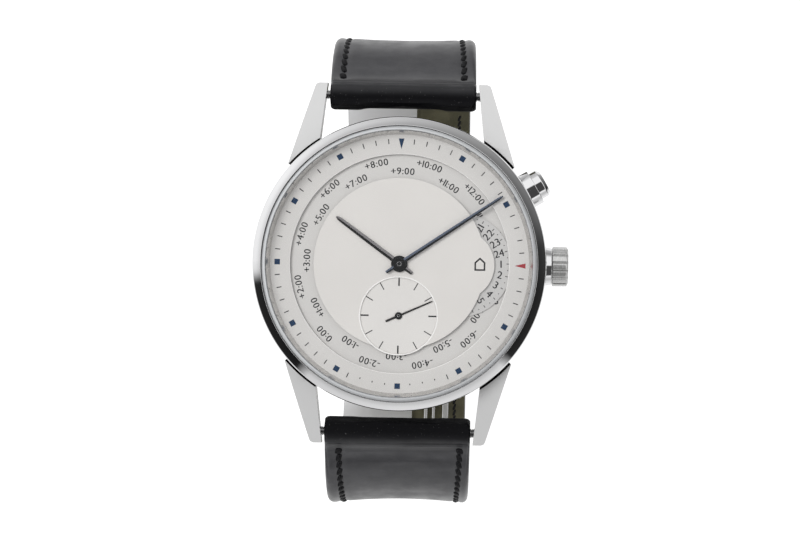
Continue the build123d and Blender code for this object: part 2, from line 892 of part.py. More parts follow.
def make_strap_lower_lining():
    body = narrowed(lining_band(long_route())) - strap_holes()
    return mirror(body, Plane.XZ)


def make_spring_bars():
    """The two bars between the lugs, each with a thinner tip at both ends."""
    bars = []
    half = lug_gap / 2 - bar_end_gap
    tip = lug_gap / 2 + bar_tip_length
    for side in (1, -1):
        bar = across(bar_radius, side * bar_reach, z_bar, -half, half)
        bars.append(bar + across(bar_tip_radius, side * bar_reach, z_bar, -tip, tip))
    return Compound(children=bars)


# Clasp

def leaf_outline(near, far, start_angle, end_angle, left, right):
    """A strip that follows the inside of the loop from the hinge at 6 o'clock towards 12 o'clock."""
    edges = []
    for radius in (near, far):
        start = loop_point(radius, start_angle, -1)
        end = loop_point(radius, end_angle)
        low_left = (loop_shift - loop_centre_y, loop_centre_z - radius)
        low_right = (loop_shift + loop_centre_y, loop_centre_z - radius)
        first = loop_point(radius, (start_angle + 90) / 2, -1)
        second = loop_point(radius, (end_angle + 90) / 2)
        edges.append(ThreePointArc((0, *start), (0, *first), (0, *low_left)))
        edges.append(Line((0, *low_left), (0, *low_right)))
        edges.append(ThreePointArc((0, *low_right), (0, *second), (0, *end)))
    edges.append(Line((0, *loop_point(near, start_angle, -1)), (0, *loop_point(far, start_angle, -1))))
    edges.append(Line((0, *loop_point(near, end_angle)), (0, *loop_point(far, end_angle))))
    return side_slab(edges, left, right)


def arc_slab(near, far, start_angle, end_angle, left, right):
    """A curved plate on the 12 o'clock side of the loop, between two angles and two radii."""
    middle = (start_angle + end_angle) / 2
    edges = []
    for radius in (near, far):
        edges.append(ThreePointArc((0, *loop_point(radius, start_angle)), (0, *loop_point(radius, middle)),
                                   (0, *loop_point(radius, end_angle))))
    for angle in (start_angle, end_angle):
        edges.append(Line((0, *loop_point(near, angle)), (0, *loop_point(far, angle))))
    return side_slab(edges, left, right)


def make_clasp_blade():
    """The long base blade on the left, with a knuckle at 6 o'clock and two ears for the clasp bar."""
    body = leaf_outline(leaf_inner_radius, leaf_outer_radius, leaf_end_angle, clasp_bar_angle, blade_left,
                        blade_right)
    y, z = loop_point(hinge_radius, leaf_end_angle, -1)
    body = body + across(knuckle_radius, y, z, blade_left, blade_right)
    body = body - across(hinge_pin_radius + running_clearance, y, z, blade_left + blind_end,
                         blade_right + overrun)
    outside = strap_end_width / 2 + ear_gap + ear_thickness
    inside = strap_end_width / 2 + ear_gap
    bar = loop_point(loop_radius, clasp_bar_angle)
    body = body + arc_slab(leaf_inner_radius, leaf_outer_radius, clasp_bar_angle - crossbar_half_angle,
                           clasp_bar_angle + crossbar_half_angle, -outside, outside)
    for left, right in ((-outside, -inside), (inside, outside)):
        body = body + arc_slab(leaf_inner_radius, loop_radius, clasp_bar_angle - crossbar_half_angle,
                               clasp_bar_angle + crossbar_half_angle, left, right)
        body = body + across(ear_radius, bar[0], bar[1], left, right)
    return body


def make_clasp_leaf():
    """The narrow folding leaf on the right; two slots leave three bars at its hinge end."""
    body = leaf_outline(leaf_inner_radius, leaf_outer_radius, leaf_end_angle, leaf_lock_angle, leaf_left,
                        leaf_right)
    y, z = loop_point(hinge_radius, leaf_end_angle, -1)
    body = body + across(knuckle_radius, y, z, leaf_left, leaf_right)
    for left, right in leaf_slots:
        slot = leaf_outline(leaf_inner_radius - overrun, leaf_outer_radius + overrun, slot_start_angle,
                            leaf_lock_angle, leaf_left + left, leaf_left + right)
        keep = Box(2 * strap_width, 2 * strap_reach, 2 * loop_radius,
                   align=(Align.CENTER, Align.MIN, Align.CENTER))
        body = body - (slot - Pos(0, slot_end_y, loop_radius) * keep)
    return body - across(hinge_pin_radius + seat_clearance, y, z, leaf_left - overrun, leaf_right + overrun)


def make_hinge_pin():
    y, z = loop_point(hinge_radius, leaf_end_angle, -1)
    return across(hinge_pin_radius, y, z, blade_left + blind_end + level_gap, leaf_right)


def make_clasp_loop():
    """The steel loop round the long half at the end of the folding leaf."""
    outside = strap_end_width / 2 + ear_gap + ear_thickness
    inside = strap_end_width / 2 + ear_gap
    outer_low = loop_radius + strap_thickness / 2 + leaf_clearance
    outer_high = outer_low + loop_plate_thickness
    start = leaf_lock_angle - loop_half_angle
    end = leaf_lock_angle + loop_half_angle
    plate = arc_slab(outer_low, outer_high, start, end, -outside, outside)
    right = arc_slab(leaf_inner_radius, outer_high, start, end, inside, outside)
    left = arc_slab(leaf_outer_radius + leaf_clearance, outer_high, start, end, -outside, -inside)
    arm = arc_slab(leaf_inner_radius, leaf_outer_radius, start, end, leaf_right, outside)
    y, z = loop_point(outer_low, leaf_lock_angle)
    hole = Cylinder(stud_radius + seat_clearance, 2 * overrun)
    hole = Pos(0, y, z) * Rot(90 - leaf_lock_angle, 0, 0) * hole
    return plate + right + left + arm - hole


def make_clasp_stud():
    """The pin riveted in the loop that goes through a hole of the long half."""
    outer_high = loop_radius + strap_thickness / 2 + leaf_clearance + loop_plate_thickness
    inner_end = leaf_outer_radius + 2 * leaf_clearance
    y, z = loop_point((outer_high + inner_end) / 2, leaf_lock_angle)
    return Pos(0, y, z) * Rot(90 - leaf_lock_angle, 0, 0) * Cylinder(stud_radius, outer_high - inner_end)


def make_clasp_bar():
    """The bar inside the short half's end loop."""
    y, z = loop_point(loop_radius, clasp_bar_angle)
    half = strap_end_width / 2 + ear_gap / 2
    return across(clasp_bar_radius, y, z, -half, half)


# Dial

def make_outer_dial():
    return tube(dial_seat_radius - seat_clearance, dial_outer_inner_radius, z_dial, z_dial_top)


def make_centre_dial():
    """The round plate, bulged over the home disc and over the small seconds, on three feet."""
    low = z_dial
    high = z_dial_top
    plate = tube(centre_dial_radius, 0, low, high)
    plate = plate + tube(home_bulge_radius, 0, low, high, (home_offset, 0))
    plate = plate + tube(seconds_bulge_radius, 0, low, high, (0, -seconds_offset))
    plate = plate - tube(seconds_dial_radius + seat_clearance, 0, high - seconds_sink - sub_dial_thickness,
                         high + overrun, (0, -seconds_offset))
    plate = plate - tube(arbor_radius + running_clearance, 0, low - overrun, high, (0, -seconds_offset))
    plate = plate - tube(dial_hole_radius, 0, low - overrun, high + overrun)
    for at in dial_foot_places:
        plate = plate + tube(dial_foot_radius, 0, z_plate_top, low, at)
    return plate


def make_seconds_dial():
    low = z_dial_top - seconds_sink - sub_dial_thickness
    body = tube(seconds_dial_radius, 0, low, low + sub_dial_thickness, (0, -seconds_offset))
    return body - tube(arbor_radius + running_clearance, 0, low - overrun, z_dial_top, (0, -seconds_offset))


def make_city_ring():
    return tube(city_outer_radius, city_inner_radius, z_city, z_city + ring_thickness)


def make_home_disc():
    """The 24 hour disc with its hub and the toothed wheel under it."""
    at = (home_offset, 0)
    disc = tube(home_disc_radius, 0, z_home, z_home + ring_thickness, at)
    hub = tube(home_hub_radius, 0, z_hour_wheel, z_home, at)
    wheel = gear(home_teeth, motion_module, z_hour_wheel, z_hour_wheel + wheel_thickness, at, 0,
                 180 + 180 / home_teeth)
    bore = tube(home_post_radius + running_clearance, 0, z_hour_wheel - overrun, z_home + overrun, at)
    return disc + hub + wheel - bore


def hand(length, tail, width, tip_width, tail_width, hub, bore, low, angle, centre=(0, 0)):
    """A flat lance-shaped hand with a pointed tip, a straight tail and a round hub."""
    half = width / 2
    tip = tip_width / 2
    end = tail_width / 2
    outline = [(-end, -tail), (end, -tail), (half, 0), (tip, length - hand_point), (0, length),
               (-tip, length - hand_point), (-half, 0)]
    body = flat(outline, low, low + hand_thickness) + tube(hub, 0, low, low + hand_thickness)
    body = body - tube(bore, 0, low - overrun, low + 2 * overrun)
    return Pos(centre[0], centre[1], 0) * Rot(0, 0, -angle) * body


def make_hour_hand():
    return hand(hour_length, hour_tail, hour_width, hour_tip_width, hour_tail_width, hour_hub_radius,
                hour_pipe_radius, z_hour_hand, hour_angle)


def make_minute_hand():
    return hand(minute_length, minute_tail, minute_width, minute_tip_width, minute_tail_width,
                minute_hub_radius, cannon_radius, z_minute_hand, minute_angle)


def make_seconds_hand():
    return hand(seconds_length, seconds_tail, seconds_width, seconds_hair_width, seconds_tail_width,
                seconds_hub_radius, seconds_arbor_radius, z_seconds_hand, seconds_angle,
                (0, -seconds_offset))


# Train

def mesh_distance(first, second, module):
    """The distance between two toothed wheels' centres."""
    return (first + second) * module / 2


def third_centre():
    """Where the third wheel's arbor stands, from its two meshes."""
    near = mesh_distance(centre_teeth, third_pinion_leaves, centre_module)
    far = mesh_distance(third_teeth, fourth_pinion_leaves, third_module)
    y = -(near ** 2 - far ** 2 + seconds_offset ** 2) / (2 * seconds_offset)
    return (math.sqrt(near ** 2 - y ** 2), y)


centre_at = (0, 0)
third_at = third_centre()
fourth_at = (0, -seconds_offset)
escape_at = polar(mesh_distance(fourth_teeth, escape_pinion_leaves, fourth_module), escape_bearing,
                  fourth_at)
barrel_at = polar(mesh_distance(barrel_teeth, centre_pinion_leaves, barrel_module), barrel_bearing)
crown_wheel_at = (barrel_at[0] + math.sqrt(
    mesh_distance(ratchet_teeth, crown_wheel_teeth, ratchet_module) ** 2 - barrel_at[1] ** 2), 0)
minute_wheel_at = polar(mesh_distance(cannon_leaves, minute_teeth, minute_module), minute_wheel_bearing)
balance_at = (balance_x, balance_y)


def bearing_between(start, end):
    return math.degrees(math.atan2(end[1] - start[1], end[0] - start[0]))


pallet_at = polar(pallet_distance, bearing_between(escape_at, balance_at), escape_at)


def arbor(low, high, at):
    """A plain shaft between the plates with a thin pivot at each end."""
    body = tube(arbor_radius, 0, low, high, at)
    return body + tube(pivot_radius, 0, z_train - pivot_reach, z_plate + pivot_reach, at)


def make_barrel():
    low = z_train + level_gap
    high = low + barrel_height - level_gap
    to_centre = bearing_between(barrel_at, centre_at)
    rim = gear(barrel_teeth, barrel_module, low, low + 2 * wheel_thickness, barrel_at, 0, to_centre)
    drum = tube(barrel_drum_radius, 0, low, high, barrel_at)
    hole = tube(barrel_arbor_radius + running_clearance, 0, low - overrun, high + overrun, barrel_at)
    return rim + drum - hole


def make_centre_wheel():
    """Centre wheel, its pinion under the barrel's teeth and the arbor that carries the hands."""
    low = z_train + level_gap
    level = z_plate - level_gap - wheel_thickness
    wheel = gear(centre_teeth, centre_module, level, level + wheel_thickness, centre_at, 0,
                 bearing_between(centre_at, third_at))
    wheel = crossings(wheel, wheel_rim_share * centre_teeth * centre_module / 2, wheel_hub_radius,
                      centre_arms, level, level + wheel_thickness, centre_at)
    pinion = gear(centre_pinion_leaves, barrel_module, low, low + 3 * wheel_thickness, centre_at, 0,
                  bearing_between(centre_at, barrel_at) + 180 / centre_pinion_leaves)
    shaft = tube(centre_arbor_radius, 0, low, z_plate_top + level_gap)
    post = tube(centre_post_radius, 0, low, z_minute_hand + hand_thickness)
    return wheel + pinion + shaft + post + tube(pivot_radius, 0, z_train - pivot_reach, low)


def make_third_wheel():
    level = z_plate - level_gap - wheel_thickness
    low = level - level_gap - 2 * wheel_thickness
    wheel = gear(third_teeth, third_module, low, low + wheel_thickness, third_at, 0,
                 bearing_between(third_at, fourth_at))
    wheel = crossings(wheel, wheel_rim_share * third_teeth * third_module / 2, wheel_hub_radius,
                      third_arms, low, low + wheel_thickness, third_at)
    pinion = gear(third_pinion_leaves, centre_module, low + wheel_thickness, z_plate - level_gap, third_at,
                  0, bearing_between(third_at, centre_at) + 180 / third_pinion_leaves)
    return wheel + pinion + arbor(z_train + level_gap, z_plate - level_gap / 2, third_at)


def make_fourth_wheel():
    """Fourth wheel: its long arbor comes up through the dial and carries the seconds hand."""
    low = z_train + level_gap
    third_low = z_plate - 2 * level_gap - 3 * wheel_thickness
    wheel = gear(fourth_teeth, fourth_module, low, low + wheel_thickness, fourth_at, 0,
                 bearing_between(fourth_at, escape_at))
    wheel = crossings(wheel, wheel_rim_share * fourth_teeth * fourth_module / 2, wheel_hub_radius,
                      fourth_arms, low, low + wheel_thickness, fourth_at)
    pinion = gear(fourth_pinion_leaves, third_module, low + wheel_thickness, third_low + 2 * wheel_thickness,
                  fourth_at, 0, bearing_between(fourth_at, third_at) + 180 / fourth_pinion_leaves)
    shaft = tube(seconds_arbor_radius, 0, z_train - pivot_reach, z_seconds_hand + hand_thickness, fourth_at)
    return wheel + pinion + shaft


def make_escape_wheel():
    """The escape wheel with fifteen slanting teeth and its pinion."""
    low = z_train + level_gap
    level = z_escape
    step = 360 / escape_teeth
    points = []
    for k in range(escape_teeth):
        angle = k * step
        points.append(polar(escape_radius * escape_root_share, angle - step * escape_back_share))
        points.append(polar(escape_radius, angle))
        points.append(polar(escape_radius * escape_front_share, angle + step * escape_foot_share))
        points.append(polar(escape_radius * escape_root_share, angle + step * escape_foot_share))
    wheel = Pos(escape_at[0], escape_at[1], 0) * flat(points, level, level + wheel_thickness)
    wheel = crossings(wheel, escape_radius * escape_window_share, wheel_hub_radius, escape_arms,
                      level, level + wheel_thickness, escape_at)
    pinion = gear(escape_pinion_leaves, fourth_module, low, level, escape_at, 0,
                  bearing_between(escape_at, fourth_at) + 180 / escape_pinion_leaves)
    return wheel + pinion + arbor(low, z_plate - level_gap, escape_at)


def make_pallet_fork():
    """The lever between escape wheel and balance, with two arms and a forked end."""
    low = z_escape
    ahead = bearing_between(pallet_at, balance_at)
    back = ahead + 180
    span = math.hypot(balance_x - pallet_at[0], balance_y - pallet_at[1])
    reach = span - roller_radius - fork_gap
    arm = flat([polar(fork_half_width, ahead + 90), polar(fork_half_width, ahead - 90),
                polar(reach, ahead - fork_angle), polar(reach, ahead + fork_angle)],
               low, low + wheel_thickness)
    notch = Pos(*polar(reach, ahead), low + wheel_thickness / 2) * Box(fork_notch, fork_notch, overrun)
    body = arm - notch
    for side in (1, -1):
        outline = [polar(fork_half_width, back), polar(pallet_arm_length, back + side * pallet_spread),
                   polar(pallet_arm_length, back + side * (pallet_spread + pallet_width)),
                   polar(fork_half_width, ahead)]
        body = body + flat(outline, low, low + wheel_thickness)
    body = Pos(pallet_at[0], pallet_at[1], 0) * body
    return body + arbor(z_train + level_gap, z_plate - level_gap, pallet_at)


def make_balance_wheel():
    """The balance: rim, arms, rim screws, staff and roller."""
    low = z_balance
    high = low + balance_rim_height
    inner = balance_radius - balance_rim_width
    rim = tube(balance_radius, inner, low, high, balance_at)
    arm = Pos(balance_x, balance_y, low + wheel_thickness / 2) * Rot(0, 0, balance_arm_turn) * Box(
        2 * inner + seat_clearance, balance_arm_width, wheel_thickness)
    body = rim + arm + tube(balance_hub_radius, 0, low, high, balance_at)
    body = body + tube(roller_radius, 0, z_escape, z_escape + wheel_thickness, balance_at)
    return body + arbor(z_train + level_gap, z_plate - level_gap, balance_at)


def make_hairspring():
    """The flat spiral of the hairspring, as one thin ribbon."""
    low = z_hairspring
    outer = []
    inner = []
    steps = hairspring_turns * hairspring_steps
    for k in range(steps + 1):
        radius = hairspring_inner + (hairspring_outer - hairspring_inner) * k / steps
        angle = 360 * k / hairspring_steps
        outer.append(polar(radius + hairspring_wire / 2, angle, balance_at))
        inner.append(polar(radius - hairspring_wire / 2, angle, balance_at))
    return flat(outer + inner[::-1], low, low + wheel_thickness)


def make_ratchet_wheel():
    """The ratchet wheel on the bridge, with the barrel arbor under it."""
    low = z_bridge
    high = low + ratchet_thickness
    wheel = gear(ratchet_teeth, ratchet_module, low, high, barrel_at, 0,
                 bearing_between(barrel_at, crown_wheel_at))
    return wheel + tube(barrel_arbor_radius, 0, high, z_train + barrel_height, barrel_at)


def make_crown_wheel():
    low = z_bridge
    high = low + ratchet_thickness
    wheel = gear(crown_wheel_teeth, ratchet_module, low, high, crown_wheel_at, 0,
                 bearing_between(crown_wheel_at, barrel_at) + 180 / crown_wheel_teeth)
    return wheel + tube(crown_wheel_post, 0, high, z_bridge + bridge_thickness - level_gap, crown_wheel_at)


# Motion work under the dial

def make_cannon_pinion():
    low = z_minute_wheel
    leaves = gear(cannon_leaves, minute_module, low, low + wheel_thickness, centre_at, 0,
                  bearing_between(centre_at, minute_wheel_at))
    pipe = tube(cannon_radius, 0, low, z_minute_hand + hand_thickness)
    return leaves + pipe - tube(centre_post_radius + running_clearance, 0, low - overrun,
                                z_minute_hand + overrun)


def make_minute_wheel():
    low = z_minute_wheel
    wheel = gear(minute_teeth, minute_module, low, low + wheel_thickness, minute_wheel_at, 0,
                 bearing_between(minute_wheel_at, centre_at) + 180 / minute_teeth)
    pinion = gear(minute_pinion_leaves, motion_module, low + wheel_thickness, z_hour_wheel + wheel_thickness,
                  minute_wheel_at, 0, bearing_between(minute_wheel_at, centre_at))
    bore = tube(minute_post_radius + running_clearance, 0, low - overrun, z_city, minute_wheel_at)
    return wheel + pinion - bore


def make_hour_wheel():
    low = z_hour_wheel
    to_minute = bearing_between(centre_at, minute_wheel_at) + 180 / hour_teeth
    wheel = gear(hour_teeth, motion_module, low, low + wheel_thickness, centre_at, 0, to_minute)
    pipe = tube(hour_pipe_radius, 0, low, z_hour_hand + hand_thickness)
    bore = tube(cannon_radius + running_clearance, 0, low - overrun, z_minute_hand)
    return wheel + pipe - bore


# Plates

def train_places():
    return [third_at, escape_at, pallet_at]


def make_mainplate():
    """The mainplate: posts for the motion work, a ledge for the city ring and pillars to the bridge."""
    body = tube(movement_radius, 0, z_plate, z_plate_top)
    body = body + tube(movement_radius, ledge_inner_radius, z_plate_top, z_city - seat_clearance)
    body = body + tube(home_post_radius, 0, z_plate_top, z_home, (home_offset, 0))
    body = body + tube(minute_post_radius, 0, z_plate_top, z_hour_wheel + wheel_thickness, minute_wheel_at)
    for bearing in pillar_bearings:
        body = body + tube(pillar_radius, 0, z_train, z_plate, polar(pillar_ring, bearing))
    for at in train_places() + [balance_at]:
        body = body - tube(jewel_radius, 0, z_plate - overrun, z_plate + jewel_thickness, at)
    body = body - tube(centre_arbor_radius + running_clearance, 0, z_plate - overrun, z_plate_top + overrun)
    body = body - tube(seconds_arbor_radius + running_clearance, 0, z_plate - overrun, z_plate_top + overrun,
                       fourth_at)
    return body


def cock_foot(grow, low, high):
    """The outline of the cock's wide foot, grown all round by a clearance."""
    near = cock_foot_start - grow
    far = cock_foot_start + cock_foot_depth + grow
    half = cock_foot_half + grow
    block = flat([(near, half), (far, half), (far, -half), (near, -half)], low, high)
    return Pos(balance_x, balance_y, 0) * Rot(0, 0, cock_bearing) * block


def cock_arm(grow, low, high):
    """The outline of the cock's tapering arm, from the nose to the foot."""
    nose = cock_nose + grow
    foot = cock_foot_half + grow
    arm = flat([(-nose, -nose), (-nose, nose), (cock_foot_start, foot), (cock_foot_start, -foot)], low, high)
    return Pos(balance_x, balance_y, 0) * Rot(0, 0, cock_bearing) * arm


def cock_room(low, high):
    room = tube(cock_room_radius, 0, low, high, balance_at) + cock_foot(level_gap, low, high)
    return room + cock_arm(level_gap, low, high)


def make_bridge():
    """The three-quarter plate over the train, cut out round the balance."""
    body = tube(movement_radius, 0, z_bridge, z_train) - cock_room(z_bridge - overrun, z_train + overrun)
    for teeth, at in ((ratchet_teeth, barrel_at), (crown_wheel_teeth, crown_wheel_at)):
        reach = teeth * ratchet_module / 2 + ratchet_module
        body = body - tube(reach, 0, z_bridge - overrun, z_bridge + ratchet_thickness + seat_clearance, at)
    for at in train_places() + [fourth_at]:
        body = body - tube(jewel_radius, 0, z_train - jewel_thickness, z_train + overrun, at)
    body = body - tube(barrel_arbor_radius + running_clearance, 0, z_bridge - overrun, z_train + overrun,
                       barrel_at)
    body = body - tube(crown_wheel_post + running_clearance, 0, z_bridge - overrun, z_train + overrun,
                       crown_wheel_at)
    body = body - tube(jewel_radius, 0, z_train - jewel_thickness, z_train + overrun)
    for at in movement_screw_places():
        body = body - tube(screw_head_radius, 0, z_bridge - overrun, z_bridge + screw_head_height, at)
    return body


def movement_screw_places():
    return [polar(pillar_ring, bearing) for bearing in pillar_bearings]


def make_movement_screws():
    screws = []
    for at in movement_screw_places():
        head = tube(screw_head_radius, 0, z_bridge, z_bridge + screw_head_height, at)
        slot = Box(2 * screw_head_radius + overrun, slot_width, 2 * slot_depth)
        screws.append(head - Pos(at[0], at[1], z_bridge) * slot)
    return Compound(children=screws)


def make_jewels():
    """The pressed jewel rings in both plates."""
    stones = []
    for at in train_places() + [balance_at]:
        hole = pivot_radius + running_clearance
        stones.append(tube(jewel_radius, hole, z_plate, z_plate + jewel_thickness, at))
    for at in train_places() + [fourth_at]:
        bore = pivot_radius + running_clearance
        if at == fourth_at:
            bore = seconds_arbor_radius + running_clearance
        stones.append(tube(jewel_radius, bore, z_train - jewel_thickness, z_train, at))
    stones.append(tube(jewel_radius, pivot_radius + running_clearance, z_train - jewel_thickness, z_train))
    return Compound(children=stones)


def make_balance_cock():
    """The cock that reaches over the balance from its wide foot on the mainplate."""
    body = cock_arm(0, z_bridge, z_train) + cock_foot(0, z_bridge, z_plate)
    hole = pivot_radius + running_clearance
    return body - tube(hole, 0, z_bridge - overrun, z_train + overrun, balance_at)


def make_movement_ring():
    """The ring that holds the movement in the case and the dial's rim above it."""
    inner = movement_radius + seat_clearance
    body = turned([
        (inner, z_mid + gasket_height), (case_bore_radius - seat_clearance, z_mid + gasket_height),
        (case_bore_radius - seat_clearance, z_plate_top), (dial_seat_radius - seat_clearance, z_plate_top),
        (dial_seat_radius - seat_clearance, z_dial), (inner, z_dial),
    ])
    body = body - rod(stem_radius + ring_hole_gap, inner - overrun, dial_seat_radius, z_stem, 0)
    body = body - rod(pusher_rod_radius + ring_hole_gap, inner - overrun, dial_seat_radius, z_stem,
                      pusher_bearing)
    return body - rod(corrector_radius + ring_hole_gap, inner - overrun, dial_seat_radius, z_stem,
                      corrector_bearing)


# Rotor

def make_rotor():
    """The winding weight: a half disc, heavy at its rim, round the bearing."""
    disc = tube(rotor_radius, rotor_bore_radius, z_rotor + rotor_height - rotor_plate_thickness,
                z_rotor + rotor_height)
    rim = tube(rotor_radius, rotor_radius - rotor_rim_width, z_rotor, z_rotor + rotor_height)
    keep = Box(2 * rotor_radius, rotor_radius, 2 * overrun + rotor_height,
               align=(Align.CENTER, Align.MAX, Align.MIN))
    keep = Pos(0, rotor_hub_overlap, z_rotor - overrun) * keep
    hub = tube(rotor_hub_radius, rotor_bore_radius, z_rotor + rotor_height - rotor_plate_thickness,
               z_rotor + rotor_height)
    return (disc + rim) & keep + hub


def make_rotor_bearing():
    """The bearing's inner ring, which stands on the bridge."""
    low = z_rotor + rotor_height - rotor_plate_thickness - bearing_lip
    return tube(rotor_bore_radius - running_clearance, bearing_screw_radius + seat_clearance, low, z_bridge)


def make_rotor_screw():
    low = z_rotor + rotor_height - rotor_plate_thickness - bearing_lip - screw_head_height
    head = tube(rotor_screw_head, 0, low, low + screw_head_height)
    slot = Pos(0, 0, low) * Box(2 * rotor_screw_head + overrun, slot_width * 2, 2 * slot_depth)
    return head - slot + tube(bearing_screw_radius, 0, low + screw_head_height, z_bridge)


makers = {
    "mid_case": make_mid_case,
    "bezel": make_bezel,
    "crystal": make_crystal,
    "crystal_gasket": make_gasket,
    "flange_ring": make_flange,
    "back_ring": make_back_ring,
    "back_screws": make_back_screws,
    "back_crystal": make_back_crystal,
    "back_gasket": make_back_gasket,
    "case_spring_bars": make_spring_bars,
    "crown_tube": make_crown_tube,
    "crown": make_crown,
    "crown_stem": make_stem,
    "winding_pinion": make_winding_pinion,
    "setting_lever": make_setting_lever,
    "pusher_sleeve": make_pusher_sleeve,
    "city_pusher": make_pusher,
    "pusher_spring": make_pusher_spring,
    "home_corrector": make_corrector,
    "strap_upper": make_strap_upper,
    "strap_upper_lining": make_strap_upper_lining,
    "strap_lower": make_strap_lower,
    "strap_lower_lining": make_strap_lower_lining,
    "clasp_blade": make_clasp_blade,
    "clasp_leaf": make_clasp_leaf,
    "clasp_hinge_pin": make_hinge_pin,
    "clasp_loop": make_clasp_loop,
    "clasp_stud": make_clasp_stud,
    "clasp_bar": make_clasp_bar,
    "outer_dial": make_outer_dial,
    "centre_dial": make_centre_dial,
    "seconds_dial": make_seconds_dial,
    "city_ring": make_city_ring,
    "home_disc": make_home_disc,
    "hour_hand": make_hour_hand,
    "minute_hand": make_minute_hand,
    "seconds_hand": make_seconds_hand,
    "cannon_pinion": make_cannon_pinion,
    "minute_wheel": make_minute_wheel,
    "hour_wheel": make_hour_wheel,
    "barrel": make_barrel,
    "centre_wheel": make_centre_wheel,
    "third_wheel": make_third_wheel,
    "fourth_wheel": make_fourth_wheel,
    "escape_wheel": make_escape_wheel,
    "pallet_fork": make_pallet_fork,
    "balance_wheel": make_balance_wheel,
    "hairspring": make_hairspring,
    "ratchet_wheel": make_ratchet_wheel,
    "crown_wheel": make_crown_wheel,
    "mainplate": make_mainplate,
    "three_quarter_plate": make_bridge,
    "balance_cock": make_balance_cock,
    "movement_screws": make_movement_screws,
    "jewels": make_jewels,
    "movement_ring": make_movement_ring,
    "rotor": make_rotor,
    "rotor_bearing": make_rotor_bearing,
    "rotor_screw": make_rotor_screw,
}


os.makedirs("parts", exist_ok=True)
for name, make in makers.items():
    export_step(make(), os.path.join("parts", name + ".step"))
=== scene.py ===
import json
import math

import bmesh
import bpy
import numpy as np
from mathutils import Matrix, Vector


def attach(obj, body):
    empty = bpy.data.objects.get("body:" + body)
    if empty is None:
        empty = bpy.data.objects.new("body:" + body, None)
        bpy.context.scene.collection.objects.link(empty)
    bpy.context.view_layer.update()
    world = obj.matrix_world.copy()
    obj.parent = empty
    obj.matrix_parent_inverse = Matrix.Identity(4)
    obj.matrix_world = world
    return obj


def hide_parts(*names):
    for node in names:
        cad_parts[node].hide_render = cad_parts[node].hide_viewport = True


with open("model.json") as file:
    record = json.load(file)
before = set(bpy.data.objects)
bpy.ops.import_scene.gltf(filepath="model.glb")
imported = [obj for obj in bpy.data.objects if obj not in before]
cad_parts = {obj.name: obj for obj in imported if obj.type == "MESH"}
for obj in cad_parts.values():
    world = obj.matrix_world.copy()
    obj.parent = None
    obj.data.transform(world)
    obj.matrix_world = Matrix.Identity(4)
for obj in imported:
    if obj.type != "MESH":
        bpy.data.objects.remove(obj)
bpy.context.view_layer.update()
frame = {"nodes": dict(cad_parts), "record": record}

mm = 0.001


def added(name, data):
    """A new object, put in the scene."""
    item = bpy.data.objects.new(name, data)
    bpy.context.scene.collection.objects.link(item)
    return item


# Camera
# It looks down from 430 mm above the bezel and stands a little towards 3 o'clock, so the strap's deeper
# parts show a little to one side. The watch is turned one degree in the picture.

camera_place = Vector((11.0, -0.4, 483.0)) * mm
picture_centre = Vector((0.15, -0.36, 53.2)) * mm
picture_turn = math.radians(1.04)
camera_data = bpy.data.cameras.new("camera")
camera_data.sensor_width = 36.0
camera_data.lens = 143.4
camera_data.clip_start = 0.01
camera_data.clip_end = 20.0
camera = added("camera", camera_data)
backward = (camera_place - picture_centre).normalized()
upward = Vector((-math.sin(picture_turn), math.cos(picture_turn), 0))
rightward = upward.cross(backward).normalized()
upward = backward.cross(rightward)
camera.matrix_world = Matrix.Translation(camera_place) @ Matrix((rightward, upward, backward)).transposed().to_4x4()
bpy.context.scene.camera = camera
bpy.context.scene.view_settings.view_transform = "Standard"


# Studio
# A white table and a white room, with one wide soft lamp overhead. Polished steel also mirrors the
# darker and lighter cards that stand round the table, which give its edges their contrast.

class Value:
    """A number, colour or vector that varies over a surface. Arithmetic on it adds Math nodes."""

    def __init__(self, finish, socket):
        self.finish = finish
        self.socket = socket

    def math(self, operation, *others):
        return self.finish.node("ShaderNodeMath", {"operation": operation}, self, *others)

    def __add__(self, other):
        return self.math("ADD", other)

    __radd__ = __add__

    def __sub__(self, other):
        return self.math("SUBTRACT", other)

    def __rsub__(self, other):
        return self.finish.node("ShaderNodeMath", {"operation": "SUBTRACT"}, other, self)

    def __mul__(self, other):
        return self.math("MULTIPLY", other)

    __rmul__ = __mul__

    def __truediv__(self, other):
        return self.math("DIVIDE", other)

    def __abs__(self):
        return self.math("ABSOLUTE")

    def power(self, other):
        return self.math("POWER", other)

    def between(self, low, high, start=0.0, end=1.0):
        """Goes smoothly from start to end while the value goes from low to high."""
        return self.finish.node("ShaderNodeMapRange", {"interpolation_type": "SMOOTHSTEP"}, self, low, high,
                                start, end)


